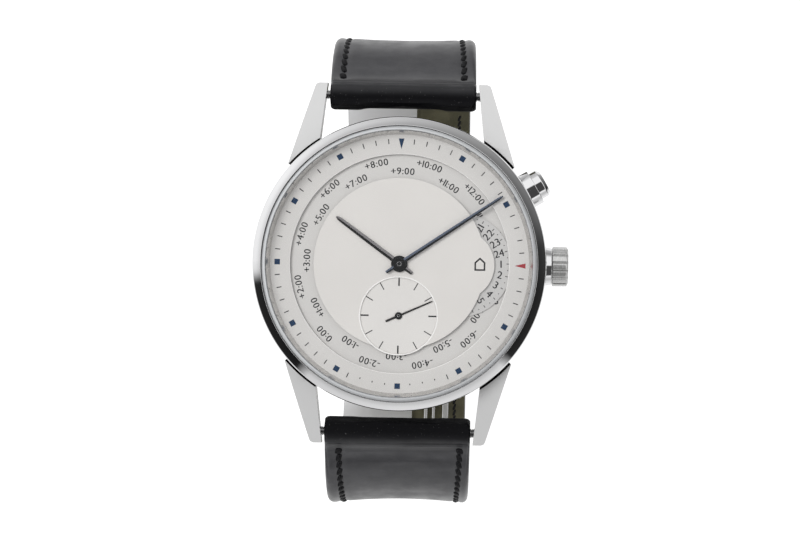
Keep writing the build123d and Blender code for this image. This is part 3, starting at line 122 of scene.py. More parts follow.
class Finish:
    """The nodes of one material, or of the world."""

    def __init__(self, name, tree=None):
        self.material = None
        if tree is None:
            self.material = bpy.data.materials.new(name)
            self.material.use_nodes = True
            tree = self.material.node_tree
        tree.nodes.clear()
        self.tree = tree

    def node(self, kind, settings=None, *values, output=0, **named):
        """Adds a node: its settings first, then what its sockets hold, in order or by name."""
        node = self.tree.nodes.new(kind)
        for key, value in (settings or {}).items():
            if key == "stops":
                stops = node.color_ramp.elements
                stops[0].position, stops[1].position = value[0][0], value[-1][0]
                for place, _ in value[1:-1]:
                    stops.new(place)
                for stop, (_, colour) in zip(stops, value):
                    stop.color = colour
            else:
                setattr(node, key, value)
        pairs = list(enumerate(values)) + [(key.replace("_", " "), value) for key, value in named.items()]
        for key, value in pairs:
            if isinstance(value, Value):
                self.tree.links.new(value.socket, node.inputs[key])
            elif value is not None:
                node.inputs[key].default_value = value
        return Value(self, node.outputs[output]) if len(node.outputs) else None

    def mixed(self, first, second, share):
        """A colour between two colours."""
        node = self.tree.nodes.new("ShaderNodeMix")
        node.data_type = "RGBA"
        for key, value in ((0, share), (6, first), (7, second)):
            if isinstance(value, Value):
                self.tree.links.new(value.socket, node.inputs[key])
            else:
                node.inputs[key].default_value = value if key == 0 else (*value, 1.0)
        return Value(self, node.outputs[2])

    def axes(self, kind=3):
        """The x, y and z of the place on the object (3), of its normal (1), or of the world's direction (0)."""
        node = self.node("ShaderNodeSeparateXYZ", None, self.node("ShaderNodeTexCoord", output=kind)).socket.node
        return [Value(self, socket) for socket in node.outputs]

    def radius(self):
        """The distance from the watch's upright middle line."""
        x, y, _ = self.axes()
        return (x * x + y * y).power(0.5)

    def place(self, *stretch):
        """The place on the object, stretched by three factors where asked."""
        place = self.node("ShaderNodeTexCoord", output=3)
        return self.node("ShaderNodeVectorMath", {"operation": "MULTIPLY"}, place, stretch) if stretch else place

    def noise(self, scale, detail=3.0, roughness=0.5, stretch=()):
        return self.node("ShaderNodeTexNoise", None, Vector=self.place(*stretch), Scale=scale, Detail=detail,
                         Roughness=roughness)

    def cells(self, feature, scale):
        return self.node("ShaderNodeTexVoronoi", {"feature": feature}, Vector=self.place(), Scale=scale)

    def bump(self, height, distance, strength=1.0):
        return self.node("ShaderNodeBump", None, Strength=strength, Distance=distance, Height=height)

    def surface(self, **sockets):
        """Closes the material with one principled shader."""
        shader = self.node("ShaderNodeBsdfPrincipled", None, **sockets)
        self.node("ShaderNodeOutputMaterial", None, shader)
        return self.material


def grey(level):
    return (level, level, level, 1.0)


world = bpy.data.worlds.new("studio")
bpy.context.scene.world = world
world.use_nodes = True
room = Finish("studio", world.node_tree)
east, north, height = room.axes(0)
bearing = north.math("ARCTAN2", east) / (2 * math.pi) + 0.5
# Grey levels by bearing: 0 and 1 are west, 0.25 south, 0.5 east and 0.75 north.
card_levels = ((0.0, 0.85), (0.01, 0.75), (0.022, 0.02), (0.125, 0.012), (0.14, 0.65), (0.25, 0.74), (0.375, 0.7),
               (0.39, 0.02), (0.47, 0.022), (0.522, 0.04), (0.556, 0.13), (0.64, 0.26), (0.7, 0.4), (0.76, 0.56),
               (0.83, 0.75), (0.9, 0.95), (1.0, 0.88))
cards = room.node("ShaderNodeValToRGB", {"stops": [(at, grey(level)) for at, level in card_levels]}, bearing)
above = height.between(0.12, 0.5)
below = height.between(-0.35, -0.6)
dark_south = (height * 0.9 - north * 0.436).between(0.75, 0.81)
ray = room.node("ShaderNodeLightPath").socket.node.outputs
near_table = height.between(-0.02, -0.27, 0.8, 1.08)
shaded = room.node("ShaderNodeVectorMath", {"operation": "SCALE"}, Vector=cards, Scale=near_table)
room_white = (1.0, 1.0, 1.0)
mirrored = room.mixed(room.mixed(shaded, room_white, above), (0.95, 0.95, 0.95), below)
mirrored = room.mixed(mirrored, (0.06, 0.06, 0.06), dark_south)
soft_level = 0.56  # the room's light on surfaces, against the 1 that shows in mirrors and to the camera
is_camera = Value(room, ray["Is Camera Ray"])
is_glossy = Value(room, ray["Is Glossy Ray"])
is_through = Value(room, ray["Is Transmission Ray"])
colour = room.mixed(room_white, mirrored, is_glossy * (1 - is_camera))
shown = (is_camera + is_glossy + is_through).math("MINIMUM", 1.0)
strength = shown * (1 - soft_level) + soft_level
background = room.node("ShaderNodeBackground", None, colour, strength)
room.node("ShaderNodeOutputWorld", None, background)

lamp_data = bpy.data.lights.new("soft_lamp", "AREA")
lamp_data.shape = "DISK"
lamp_data.size = 0.5
lamp_data.energy = 5.2
lamp = added("soft_lamp", lamp_data)
lamp_place, lamp_target = Vector((-0.42, 0.27, 0.93)), Vector((0, 0, 0.05))
lamp.matrix_world = Matrix.Translation(lamp_place) @ \
    (lamp_place - lamp_target).to_track_quat("Z", "Y").to_matrix().to_4x4()
lamp.visible_glossy = False

floor_mesh = bpy.data.meshes.new("floor")
floor_reach = 4.0
floor_mesh.from_pydata([(-floor_reach, -floor_reach, 0), (floor_reach, -floor_reach, 0),
                        (floor_reach, floor_reach, 0), (-floor_reach, floor_reach, 0)], [], [(0, 1, 2, 3)])
floor = added("floor", floor_mesh)
table = Finish("table")
ray = table.node("ShaderNodeLightPath").socket.node.outputs
paint = table.node("ShaderNodeBsdfDiffuse", None, grey(0.93))
white = table.node("ShaderNodeEmission", None, grey(1.0), 1.45)
clear = table.node("ShaderNodeBsdfTransparent")
lit = table.node("ShaderNodeMixShader", None, Value(table, ray["Is Camera Ray"]) * 0.72, paint, white)
table.node("ShaderNodeOutputMaterial", None,
           table.node("ShaderNodeMixShader", None, Value(table, ray["Is Glossy Ray"]), lit, clear))
floor_mesh.materials.append(table.material)


# Bezel
# A turned steel ring, polished all over, pressed on the middle case. Its wide outer face slopes down
# at about fifty degrees, and a narrow land holds the crystal.

def unit(vectors):
    return vectors / np.linalg.norm(vectors, axis=-1, keepdims=True)


def ramp(value, start, length):
    """Goes evenly from 0 at the start to 1 at a length after it."""
    return np.clip((value - start) / length, 0, 1)


def bell(value, centre, width):
    return np.exp(-((value - centre) / width) ** 2)


def skin(name, grids, ring=True, sharp=35):
    """A mesh over one or more grids of points in millimetres: each row of points is joined to the next
    row, and the points of a row to their neighbours, round in a ring or only up to the last one. Points
    that meet are merged, which closes poles and seams, and the faces are turned outwards."""
    grids = np.asarray(grids, float) * mm
    if grids.ndim == 3:
        grids = grids[None]
    count, rows, columns, _ = grids.shape
    index = np.arange(count * rows * columns).reshape(count, rows, columns)
    left = index if ring else index[:, :, :-1]
    right = np.roll(index, -1, axis=2) if ring else index[:, :, 1:]
    quads = np.stack([left[:, :-1], right[:, :-1], right[:, 1:], left[:, 1:]], axis=-1).reshape(-1, 4)
    mesh = bpy.data.meshes.new(name)
    mesh.from_pydata(grids.reshape(-1, 3).tolist(), [], quads.tolist())
    work = bmesh.new()
    work.from_mesh(mesh)
    bmesh.ops.remove_doubles(work, verts=work.verts, dist=1e-7)
    bmesh.ops.recalc_face_normals(work, faces=work.faces)
    work.to_mesh(mesh)
    work.free()
    mesh.set_sharp_from_angle(angle=math.radians(sharp))
    return added(name, mesh)


def eased(corners, radius, steps=4, closed=True):
    """The outline with each corner replaced by a short curve. The curve through a corner c is
    (1-t)^2 a + 2t(1-t) c + t^2 b, where a and b lie on the two edges at the easing radius from c."""
    corners = np.asarray(corners, float)
    before, after = np.roll(corners, 1, axis=0), np.roll(corners, -1, axis=0)
    lengths = np.linalg.norm(after - corners, axis=1)
    cut = np.minimum(radius, np.minimum(lengths, np.roll(lengths, 1)) * 0.45)[:, None]
    first, second = corners + unit(before - corners) * cut, corners + unit(after - corners) * cut
    t = np.linspace(0, 1, steps + 1)[None, :, None]
    curve = (1 - t) ** 2 * first[:, None] + 2 * t * (1 - t) * corners[:, None] + t ** 2 * second[:, None]
    if closed:
        points = curve.reshape(-1, 2)
        return np.vstack([points, points[:1]])
    return np.vstack([corners[:1], curve[1:-1].reshape(-1, 2), corners[-1:]])


def turned_points(profile, start=(0, 0, 0), axis=(0, 0, 1), steps=256):
    """A profile of (radius, distance) points turned about an axis through the start point: each point is
    start + distance * axis + radius * (cos a * side + sin a * up)."""
    axis = unit(np.asarray(axis, float))
    side = unit(np.cross((0, 0, 1), axis)) if abs(axis[2]) < 0.9 else np.array((1.0, 0, 0))
    up = np.cross(axis, side)
    angle = np.linspace(0, 2 * math.pi, steps, endpoint=False)
    circle = np.cos(angle)[:, None] * side + np.sin(angle)[:, None] * up
    profile = np.asarray(profile, float)
    return np.asarray(start) + profile[:, None, 1:] * axis + profile[:, None, :1] * circle


def turned(name, profile, start=(0, 0, 0), axis=(0, 0, 1), steps=256):
    return skin(name, turned_points(profile, start, axis, steps))


body_of = {node: body for body, nodes in frame["record"]["behaviour"]["bodies"].items() for node in nodes}


def stands_for(item, finish, *nodes):
    """Gives a new piece its material and body, and hides the solids that it shows instead."""
    item.data.materials.append(finish)
    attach(item, body_of[nodes[0]])
    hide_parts(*nodes)
    return item


def printed_on(item, finish, node):
    """Gives an added piece its material, and lets it ride with the solid that it sits on."""
    item.data.materials.append(finish)
    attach(item, body_of[node])
    return item


def polished_steel(name, level=0.86, roughness=0.07, painted_shade_radius=0.0):
    """Bright steel with the faint hairlines that a cloth leaves. Inside the painted shade radius, in millimetres,
    its colour is painted dark grey, a painted shade for the shade of a narrow gap."""
    steel = Finish(name)
    wear = steel.noise(900.0, 4.0)
    hair = steel.noise(1.0, 2.0, stretch=(5200.0, 700.0, 5200.0))
    darker, share = (level * 0.97, level * 0.97, level * 0.98), wear
    # Painted shade: a dark grey colour inside the radius, where a narrow gap would shade the steel.
    if painted_shade_radius:
        darker = (0.1, 0.1, 0.11)
        share = steel.radius().between(painted_shade_radius * mm + 0.00001, painted_shade_radius * mm - 0.00001)
    return steel.surface(Base_Color=steel.mixed((level, level, level * 1.01), darker, share), Metallic=1.0,
                         Roughness=wear.between(0.35, 0.7, roughness * 0.8, roughness * 1.35),
                         Normal=steel.bump(hair, 0.0000008))


polish = polished_steel("polished_steel")
z_case_top, z_ledge, z_bezel_top = 51.2, 52.1, 53.2
share = np.linspace(0, 1, 9)[1:-1]
crown_line = np.stack([19.83 - 1.08 * share + 0.106 * share * (1 - share),
                       51.94 + 1.26 * share + 0.091 * share * (1 - share)], axis=1)
bezel = turned("bezel_ring", eased(np.vstack([
    [(18.14, z_case_top), (19.6, z_case_top), (19.95, 51.5), (19.95, 51.62), (19.83, 51.94)], crown_line,
    [(18.75, z_bezel_top), (18.69, z_bezel_top), (18.69, z_ledge), (18.14, z_ledge)]]), 0.05, 2))
# The bezel's inner land by the seal is painted dark, a painted shade of the narrow gap.
stands_for(bezel, polished_steel("bezel_steel", 0.86, 0.06, 18.70), "bezel")


# Crystal and its seal
# Sapphire, domed on top, with a polished bevel all round. A coating takes most reflections away; the
# bevel and the rim are made mostly opaque and pale, a painted reflection, so they show as bright rings. A
# thin dark seal sits between it and the bezel.

dome_edge, dome_top = 18.14, 53.9
dome = np.linspace(dome_edge, 0, 28)
dome_line = np.stack([dome, z_bezel_top + (dome_top - z_bezel_top) * (1 - (dome / dome_edge) ** 2)], axis=1)
crystal = turned("crystal_dome", np.vstack([
    dome_line[::-1], [(18.18, 53.18), (18.58, 52.78), (18.62, 52.74), (18.62, 52.14), (18.58, z_ledge)],
    [(18.0, z_ledge), (0, z_ledge)]]))
glass = Finish("sapphire")
# Painted reflection: the bevel and the rim are made mostly opaque pale white.
edge = glass.radius().between(0.01804, 0.01824)
smear = glass.noise(160.0)
stands_for(crystal, glass.surface(
    Base_Color=(0.95, 0.97, 0.99, 1.0), Roughness=edge * 0.07 + smear.between(0.3, 0.8, 0.015, 0.03), IOR=1.5,
    Alpha=edge * 0.76 + 0.014), "crystal")


def one_colour(name, colour, grain_scale, smooth, matt, **sockets):
    """A plain colour, with a grain that varies how smooth it is."""
    plain = Finish(name)
    grain = plain.noise(grain_scale)
    return plain.surface(Base_Color=(*colour, 1.0), Roughness=grain.between(0.3, 0.7, smooth, matt), **sockets)


seal_inner, seal_outer, z_seal_top = 18.625, 18.685, 52.88
gasket = turned("crystal_seal", eased([
    (seal_inner, z_ledge), (seal_outer, z_ledge), (seal_outer, z_seal_top), (seal_inner, z_seal_top)], 0.015))
stands_for(gasket, one_colour("crystal_seal", (0.1, 0.1, 0.1), 5000.0, 0.5, 0.7), "crystal_gasket")


# Flange
# A thin polished ring between dial and crystal. It slopes down to the dial and mirrors the minute marks.

def flange_steel():
    """Bright satin steel; the upper rim is painted dark, a painted shade for the shade of the bezel,
    and looks like a thin dark line.
    """
    steel = Finish("flange_steel")
    # Painted shade: this mask darkens the colour of the upper rim.
    rim = steel.radius().between(0.01803, 0.01807)
    wear = steel.noise(900.0, 4.0)
    return steel.surface(Base_Color=steel.mixed((0.64, 0.63, 0.62), (0.2, 0.2, 0.21), rim), Metallic=1.0,
                         Roughness=wear.between(0.35, 0.7, 0.26, 0.32))


flange = turned("flange", eased([
    (17.57, 50.96), (17.83, 50.96), (17.83, z_case_top), (18.12, z_case_top), (18.12, z_ledge),
    (18.06, z_ledge)], 0.02))
stands_for(flange, flange_steel(), "flange_ring")


# Dial plates
# Brass plates with a matt silver-white plating: the fixed outer ring, the middle plate with its two
# round bulges, the turning zone ring and the turning day disc. Their edges are polished bright; here the
# eased edges of the outer ring and the middle plate get a lighter matt colour, a painted highlight.

def refined(node, finish, bevel, edge_finish=None):
    """A copy of a solid with its doubled points merged, its flat faces joined up, its round faces shaded
    smooth and its edges eased, in a finish of their own where asked. The solid stays hidden under it."""
    mesh = frame["nodes"][node].data.copy()
    mesh.materials.clear()
    work = bmesh.new()
    work.from_mesh(mesh)
    bmesh.ops.remove_doubles(work, verts=work.verts, dist=1e-6)
    bmesh.ops.dissolve_limit(work, angle_limit=math.radians(0.6), verts=work.verts, edges=work.edges)
    work.to_mesh(mesh)
    work.free()
    mesh.polygons.foreach_set("use_smooth", np.ones(len(mesh.polygons), dtype=bool))
    sharp = math.radians(30)
    mesh.set_sharp_from_angle(angle=sharp)
    item = added(node + "_made", mesh)
    if bevel > 0:
        ease = item.modifiers.new("eased_edges", "BEVEL")
        ease.width = bevel * mm
        ease.segments = 2
        ease.limit_method = "ANGLE"
        ease.angle_limit = sharp
        ease.harden_normals = True
        ease.use_clamp_overlap = True
        if edge_finish:
            ease.material = 1
    stands_for(item, finish, node)
    if edge_finish:
        item.data.materials.append(edge_finish)
    return item


def silver_plating(name, level, warm, grain_scale=9000.0):
    """Matt silver with a very fine even grain, the warmer the less green and blue it has."""
    plating = Finish(name)
    grain, cloud = plating.noise(grain_scale, 2.0), plating.noise(120.0, 2.0)
    light = (level * 1.01, level * (1.01 - warm * 0.45), level * (1.01 - warm))
    dark = tuple(channel * 0.97 for channel in light)
    return plating.surface(Base_Color=plating.mixed(light, dark, cloud.between(0.3, 0.7)),
                           Roughness=grain.between(0.3, 0.7, 0.42, 0.58), Normal=plating.bump(grain, 0.000002, 0.5))


# Painted highlight: a lighter matt silver on the eased plate edges and the small dial's lip.
painted_edge_highlight = silver_plating("painted_edge_highlight", 0.92, 0.03)
refined("outer_dial", silver_plating("outer_plating", 0.68, 0.05), 0.07, edge_finish=painted_edge_highlight)
refined("centre_dial", silver_plating("centre_plating", 0.735, 0.065), 0.05, edge_finish=painted_edge_highlight)
refined("seconds_dial", silver_plating("seconds_plating", 0.75, 0.055), 0.01)
refined("city_ring", silver_plating("zone_plating", 0.655, 0.045), 0.01)
refined("home_disc", silver_plating("day_plating", 0.59, 0.03, 16000.0), 0.01)


# Minute track and hour marks
# Pad-printed on the outer ring: thin dark minute lines, blue squares at the hours, a blue triangle at
# 12 and a red one at 3.

def clock_directions(angle):
    """Outwards and clockwise, at angles in degrees counted clockwise from 12 o'clock."""
    turn = np.radians(angle)
    return np.stack([np.sin(turn), np.cos(turn)], axis=-1), np.stack([np.cos(turn), -np.sin(turn)], axis=-1)


def flat_mesh(name, points, faces):
    mesh = bpy.data.meshes.new(name)
    mesh.from_pydata((points * mm).tolist(), [], faces)
    return added(name, mesh)


def flat_shapes(name, outlines, z):
    """Many flat outlines with the same number of corners, (shape, corner, xy), as faces at one height."""
    outlines = np.asarray(outlines, float)
    count, corners, _ = outlines.shape
    points = np.concatenate([outlines, np.full((count, corners, 1), z)], axis=2).reshape(-1, 3)
    return flat_mesh(name, points, np.arange(count * corners).reshape(count, corners).tolist())


def radial_lines(angles, inner, outer, width, centre=(0.0, 0.0)):
    """Lines along a radius: for each clock angle the four corners at the two radii, half a width to
    either side of the radius."""
    angles, inner, outer, width = np.broadcast_arrays(*[np.asarray(v, float) for v in (angles, inner, outer, width)])
    out, aside = clock_directions(angles)
    half = width[:, None] / 2
    near, far = out * inner[:, None], out * outer[:, None]
    corners = np.stack([near - aside * half, near + aside * half, far + aside * half, far - aside * half], axis=1)
    return corners[:, ::-1] + np.asarray(centre)


dark_ink, blue_ink, red_ink = (
    one_colour(name, colour, 7000.0, 0.35, 0.5, Specular_IOR_Level=0.18) for name, colour in (
        ("dark_ink", (0.02, 0.02, 0.023)), ("blue_ink", (0.004, 0.03, 0.085)), ("red_ink", (0.37, 0.045, 0.055))))
z_dial_print, z_seconds_print, z_day_print, z_zone_print = 50.966, 50.806, 50.586, 50.356
minutes = np.arange(60)
minute_marks = minutes[minutes % 5 != 0]
short_marks = np.isin(minute_marks, (27, 28, 29, 31, 32, 33))
printed_on(flat_shapes("minute_lines", radial_lines(
    minute_marks * 6.0, 16.3, np.where(short_marks, 16.52, 16.99), 0.13), z_dial_print), dark_ink, "outer_dial")
square_angles = np.array([30, 60, 120, 150, 180, 210, 240, 270, 300, 330])
printed_on(flat_shapes("hour_squares", radial_lines(square_angles, 16.22, 16.97, 0.75), z_dial_print),
           blue_ink, "outer_dial")


def triangle(angle, base, tip, width):
    corners = radial_lines([angle], tip, base, width)[0]
    return np.array([corners[0], corners[1], tip * clock_directions(angle)[0]])


printed_on(flat_shapes("twelve_triangle", [triangle(0, 17.0, 15.55, 0.76)], z_dial_print), blue_ink, "outer_dial")
printed_on(flat_shapes("three_triangle", [triangle(90, 17.1, 15.6, 0.7)], z_dial_print), red_ink, "outer_dial")


# Small seconds track and the house sign
# Twelve thin lines on the sunk small dial, the four main ones wider, and a lip round it in a lighter
# matt colour, a painted highlight. The plain house outline beside the day disc marks home time.

small_centre = (0.0, -7.05)
fives = np.arange(12)
printed_on(flat_shapes("seconds_lines", radial_lines(
    fives * 30.0, 4.05, 5.16, np.where(fives % 3 == 0, 0.2, 0.13), small_centre), z_seconds_print),
    dark_ink, "seconds_dial")
lip = [(5.18, 50.8), (5.21, 50.95), (5.23, 50.974), (5.35, 50.974), (5.365, 50.95)]
printed_on(turned("seconds_rim", eased(lip, 0.008, 2), (*small_centre, 0)), painted_edge_highlight, "seconds_dial")

house_half, house_low, house_eaves, house_top, house_line = 0.74, -0.83, 0.3, 0.98, 0.22
house = np.array([(-house_half, house_low), (house_half, house_low), (house_half, house_eaves), (0, house_top),
                  (-house_half, house_eaves)])
inner_house = np.array([
    (-house_half + house_line, house_low + house_line), (house_half - house_line, house_low + house_line),
    (house_half - house_line, house_eaves - house_line * 0.45), (0, house_top - house_line * 1.4),
    (-house_half + house_line, house_eaves - house_line * 0.45)])
walls = np.stack([house, np.roll(house, -1, axis=0), np.roll(inner_house, -1, axis=0), inner_house], axis=1)
house_centre = np.array((10.92, 0.08))
printed_on(flat_shapes("house_sign", walls + house_centre, z_dial_print), dark_ink, "centre_dial")


# Numbers of the zone ring and the day disc
# Printed in a plain upright face. The zone ring carries the hour offsets of its zones in two rows, and
# the day disc the hours 1 to 24, with a line at each hour and a dot between.

def letter_shapes():
    """The outline faces of each character, one unit high and centred across, with its width."""
    shapes = {}
    for letter in "0123456789+-:":
        curve = bpy.data.curves.new("letter", "FONT")
        curve.body = letter
        curve.resolution_u = 3
        holder = added("letter", curve)
        bpy.context.view_layer.update()
        mesh = bpy.data.meshes.new_from_object(holder.evaluated_get(bpy.context.evaluated_depsgraph_get()))
        points = np.array([vertex.co[:2] for vertex in mesh.vertices])
        faces = [tuple(face.vertices) for face in mesh.polygons]
        shapes[letter] = (points, faces)
        bpy.data.objects.remove(holder)
        bpy.data.curves.remove(curve)
        bpy.data.meshes.remove(mesh)
    base, top = shapes["8"][0][:, 1].min(), shapes["8"][0][:, 1].max()
    tall = top - base
    for letter, (points, faces) in shapes.items():
        left, right = points[:, 0].min(), points[:, 0].max()
        shapes[letter] = ((points - ((left + right) / 2, base)) / tall, faces, (right - left) / tall)
    return shapes


letters = letter_shapes()
letter_gap, gap_before_four = 0.16, 0.2


def lettering(name, labels, z):
    """One mesh of many labels, each drawn twice a little apart for a stronger stroke. A label is (text,
    height, place), and place turns its points, along the line and above the base line, into points on the
    dial. The slope of the 4 lets it stand closer to the 2."""
    points, faces, count = [], [], 0
    for text, high, place in labels:
        widths = [letters[c][2] + letter_gap for c in text]
        if text == "24":
            widths[0] -= gap_before_four
        along = -sum(widths) / 2
        for c, wide in zip(text, widths):
            shape, shape_faces, _ = letters[c]
            centre = (along + wide / 2) * high
            for shift, lift in ((-0.02, 0.0), (0.02, 0.001)):
                flat = place(shape * high + (shift, 0), centre)
                points.append(np.column_stack([flat, np.full(len(flat), z + lift)]))
                faces += [tuple(k + count for k in face) for face in shape_faces]
                count += len(shape)
            along += wide
    return flat_mesh(name, np.vstack(points), faces)


def round_the_ring(angle, base_radius):
    """Letters stand on a circle with their tops outwards: a letter's own turn grows with its distance
    along the base line, over the circle's radius."""
    def place(shape, centre):
        out, aside = clock_directions(angle + np.degrees(centre / base_radius))
        return out * (base_radius + shape[:, 1:]) + aside * shape[:, :1]
    return place


def along_the_radius(angle, radius, middle, centre_point):
    """Letters run outwards along a radius and stand upright at 3 o'clock."""
    def place(shape, centre):
        out, aside = clock_directions(angle)
        return np.asarray(centre_point) + out * (radius + centre + shape[:, :1]) - aside * (shape[:, 1:] - middle)
    return place


zone_offsets = ["+9", "+10", "+11", "+12", "-11", "-10", "-9", "-8", "-7", "-6", "-5", "-4", "-3", "-2", "-1",
                "0", "+1", "+2", "+3", "+4", "+5", "+6", "+7", "+8"]
zone_letter, zone_inner_base, zone_outer_base, zone_turn = 0.92, 12.17, 13.5, 1.0
zone_labels = [
    (offset + ":00", zone_letter, round_the_ring(k * 15 + zone_turn, (zone_inner_base, zone_outer_base)[k % 2]))
    for k, offset in enumerate(zone_offsets)]
printed_on(lettering("zone_numbers", zone_labels, z_zone_print), dark_ink, "city_ring")

day_centre, day_letter, day_number_radius, day_turn = (8.14, 0.0), 1.0, 5.65, -2.0
day_labels = [(str(k), day_letter, along_the_radius(90 + day_turn + (k - 1) * 15, day_number_radius,
                                                  day_letter / 2, day_centre)) for k in range(1, 25)]
printed_on(lettering("day_numbers", day_labels, z_day_print), dark_ink, "home_disc")
hours = np.arange(24) * 15.0 + 90 + day_turn
printed_on(flat_shapes("day_lines", radial_lines(hours, 6.4, 6.75, 0.1, day_centre), z_day_print),
           dark_ink, "home_disc")
around = np.arange(10) * 0.2 * math.pi
dot_corners = 0.07 * np.stack([np.cos(around), np.sin(around)], axis=1)
dots = (6.6 * clock_directions(hours + 7.5)[0] + day_centre)[:, None] + dot_corners
printed_on(flat_shapes("day_dots", dots, z_day_print), dark_ink, "home_disc")


# Hands
# Stamped and blackened steel, diamond cut: two facets meet in a ridge along the middle. The facet
# that faces up the dial is painted lighter than the other, a painted highlight. Each sits on its pipe
# with a round dark hub.

def blade(name, stations, z, ridge, angle, centre=(0.0, 0.0)):
    """A faceted blade. At each station, (distance, half width), the section has five points: the two
    edges at the foot, the two edges a little higher, and the ridge over the middle."""
    stations = np.asarray(stations, float)
    along, half = stations[:, 0], stations[:, 1]
    low, high = np.full_like(along, z), np.full_like(along, z + ridge * 0.35)
    top = z + ridge * 0.35 + ridge * 0.65 * np.minimum(half / half.max() * 1.5, 1.0)
    section = [(-half, low), (-half, high), (half * 0, top), (half, high), (half, low)]
    out, aside = clock_directions(angle)
    rows = []
    for across, level in section:
        flat = np.asarray(centre) + along[:, None] * out + across[:, None] * aside
        rows.append(np.column_stack([flat, level]))
    points = np.stack(rows, axis=1)
    first, last = points[:1].mean(axis=1, keepdims=True), points[-1:].mean(axis=1, keepdims=True)
    caps = [np.repeat(first, 5, axis=1), points, np.repeat(last, 5, axis=1)]
    return skin(name, np.concatenate(caps), sharp=12)


def hub(name, outer, hole, z, high, centre=(0.0, 0.0)):
    """A turned ring with a rounded top edge."""
    return turned(name, eased([(hole, z), (outer, z), (outer, z + high), (hole, z + high)], high * 0.4),
                  (*centre, 0), steps=64)


def dark_steel(name, dark, light):
    """Blackened steel; a facet that faces up the dial is painted lighter than one that faces down, a painted
    highlight set by the facet's direction.
    """
    steel = Finish(name)
    grain = steel.noise(2500.0)
    x, y, _ = steel.axes(1)
    # Painted highlight: the colour turns lighter where the normal faces up the dial.
    painted_lit_facet = (x * 0.3 + y).between(-0.05, 0.05)
    return steel.surface(Base_Color=steel.mixed(dark, light, painted_lit_facet), Metallic=1.0,
                         Roughness=grain.between(0.3, 0.7, 0.14, 0.24))


hub_steel = dark_steel("dark_hubs", (0.014, 0.014, 0.016), (0.024, 0.024, 0.027))


def made_hand(node, stations, z, ridge, angle, hub_radius, hole, dark, light, centre=(0.0, 0.0)):
    finish = dark_steel(node + "_steel", dark, light)
    stands_for(blade(node + "_blade", stations, z, ridge, angle, centre), finish, node)
    printed_on(hub(node + "_hub", hub_radius, hole, z - 0.005, ridge * 1.15, centre), hub_steel, node)


made_hand("hour_hand", [
    (-2.17, 0.22), (-1.9, 0.25), (0, 0.35), (5, 0.35), (9.8, 0.29), (10.3, 0.25), (10.6, 0.12), (10.7, 0.02)],
    z=51.12, ridge=0.2, angle=305.9, hub_radius=1.12, hole=0.62, dark=(0.06, 0.058, 0.06), light=(0.21, 0.2, 0.205))
made_hand("minute_hand", [
    (-2.14, 0.19), (-1.9, 0.21), (0, 0.29), (8, 0.27), (16.1, 0.2), (16.5, 0.15), (16.75, 0.07), (16.8, 0.01)],
    z=51.43, ridge=0.18, angle=55.9, hub_radius=0.87, hole=0.39, dark=(0.045, 0.052, 0.07), light=(0.1, 0.12, 0.165))
made_hand("seconds_hand", [
    (-1.9, 0.13), (-1.7, 0.15), (-0.6, 0.15), (0, 0.14), (4.7, 0.095), (4.95, 0.07), (5.03, 0.01)],
    z=50.88, ridge=0.1, angle=65.8, hub_radius=0.5, hole=0.13, dark=(0.03, 0.028, 0.028),
    light=(0.045, 0.042, 0.042), centre=small_centre)
printed_on(hub("centre_pipe", 0.4, 0.02, 51.5, 0.16), hub_steel, "cannon_pinion")
printed_on(hub("centre_pipe_edge", 0.3, 0.25, 51.6, 0.07), polish, "cannon_pinion")
printed_on(hub("seconds_pipe", 0.22, 0.02, 50.95, 0.09, small_centre), hub_steel, "fourth_wheel")
printed_on(hub("seconds_pipe_edge", 0.19, 0.14, 51.0, 0.06, small_centre), polish, "fourth_wheel")


# Strap
# Two halves of smooth black leather with a waxed sheen, each folded round its spring bar and glued over
# an olive brown lining. What differs between them is kept by side, 1 for the upper and -1 for the lower.

bar_y, bar_z, drop = 23.1, 45.3, math.radians(25)
shoulder_bend, loop_bend, half_strap = 9.0, 25.0, 1.3
upper_reach, lower_reach, loop_z = 30.3, 32.3, loop_bend + half_strap
roll_radius, stitch_inset, end_swell = 1.8, 1.65, 0.3
# Where the fold is glued down, how hollow the face is, how far its stitches lie to the right, how much it
# hangs askew, and how far the middle of its fold swells towards the case.
crease_place, hollow_depth = {1.0: 1.5, -1.0: 1.75}, {1.0: 0.3, -1.0: 0.65}
row_shift, skew, middle_swell = {1.0: 0.0, -1.0: 0.27}, {1.0: 0.0, -1.0: 0.0145}, {1.0: 0.0, -1.0: 0.22}


def on_loop(angle, reach, side=1.0):
    """The middle line's point on a curved end of the loop, at an angle below its centre."""
    return (side * (reach - loop_bend + loop_bend * math.cos(math.radians(angle))),
            loop_z - loop_bend * math.sin(math.radians(angle)))


def shoulder(reach):
    return (reach, bar_z - (reach - bar_y) * math.tan(drop))


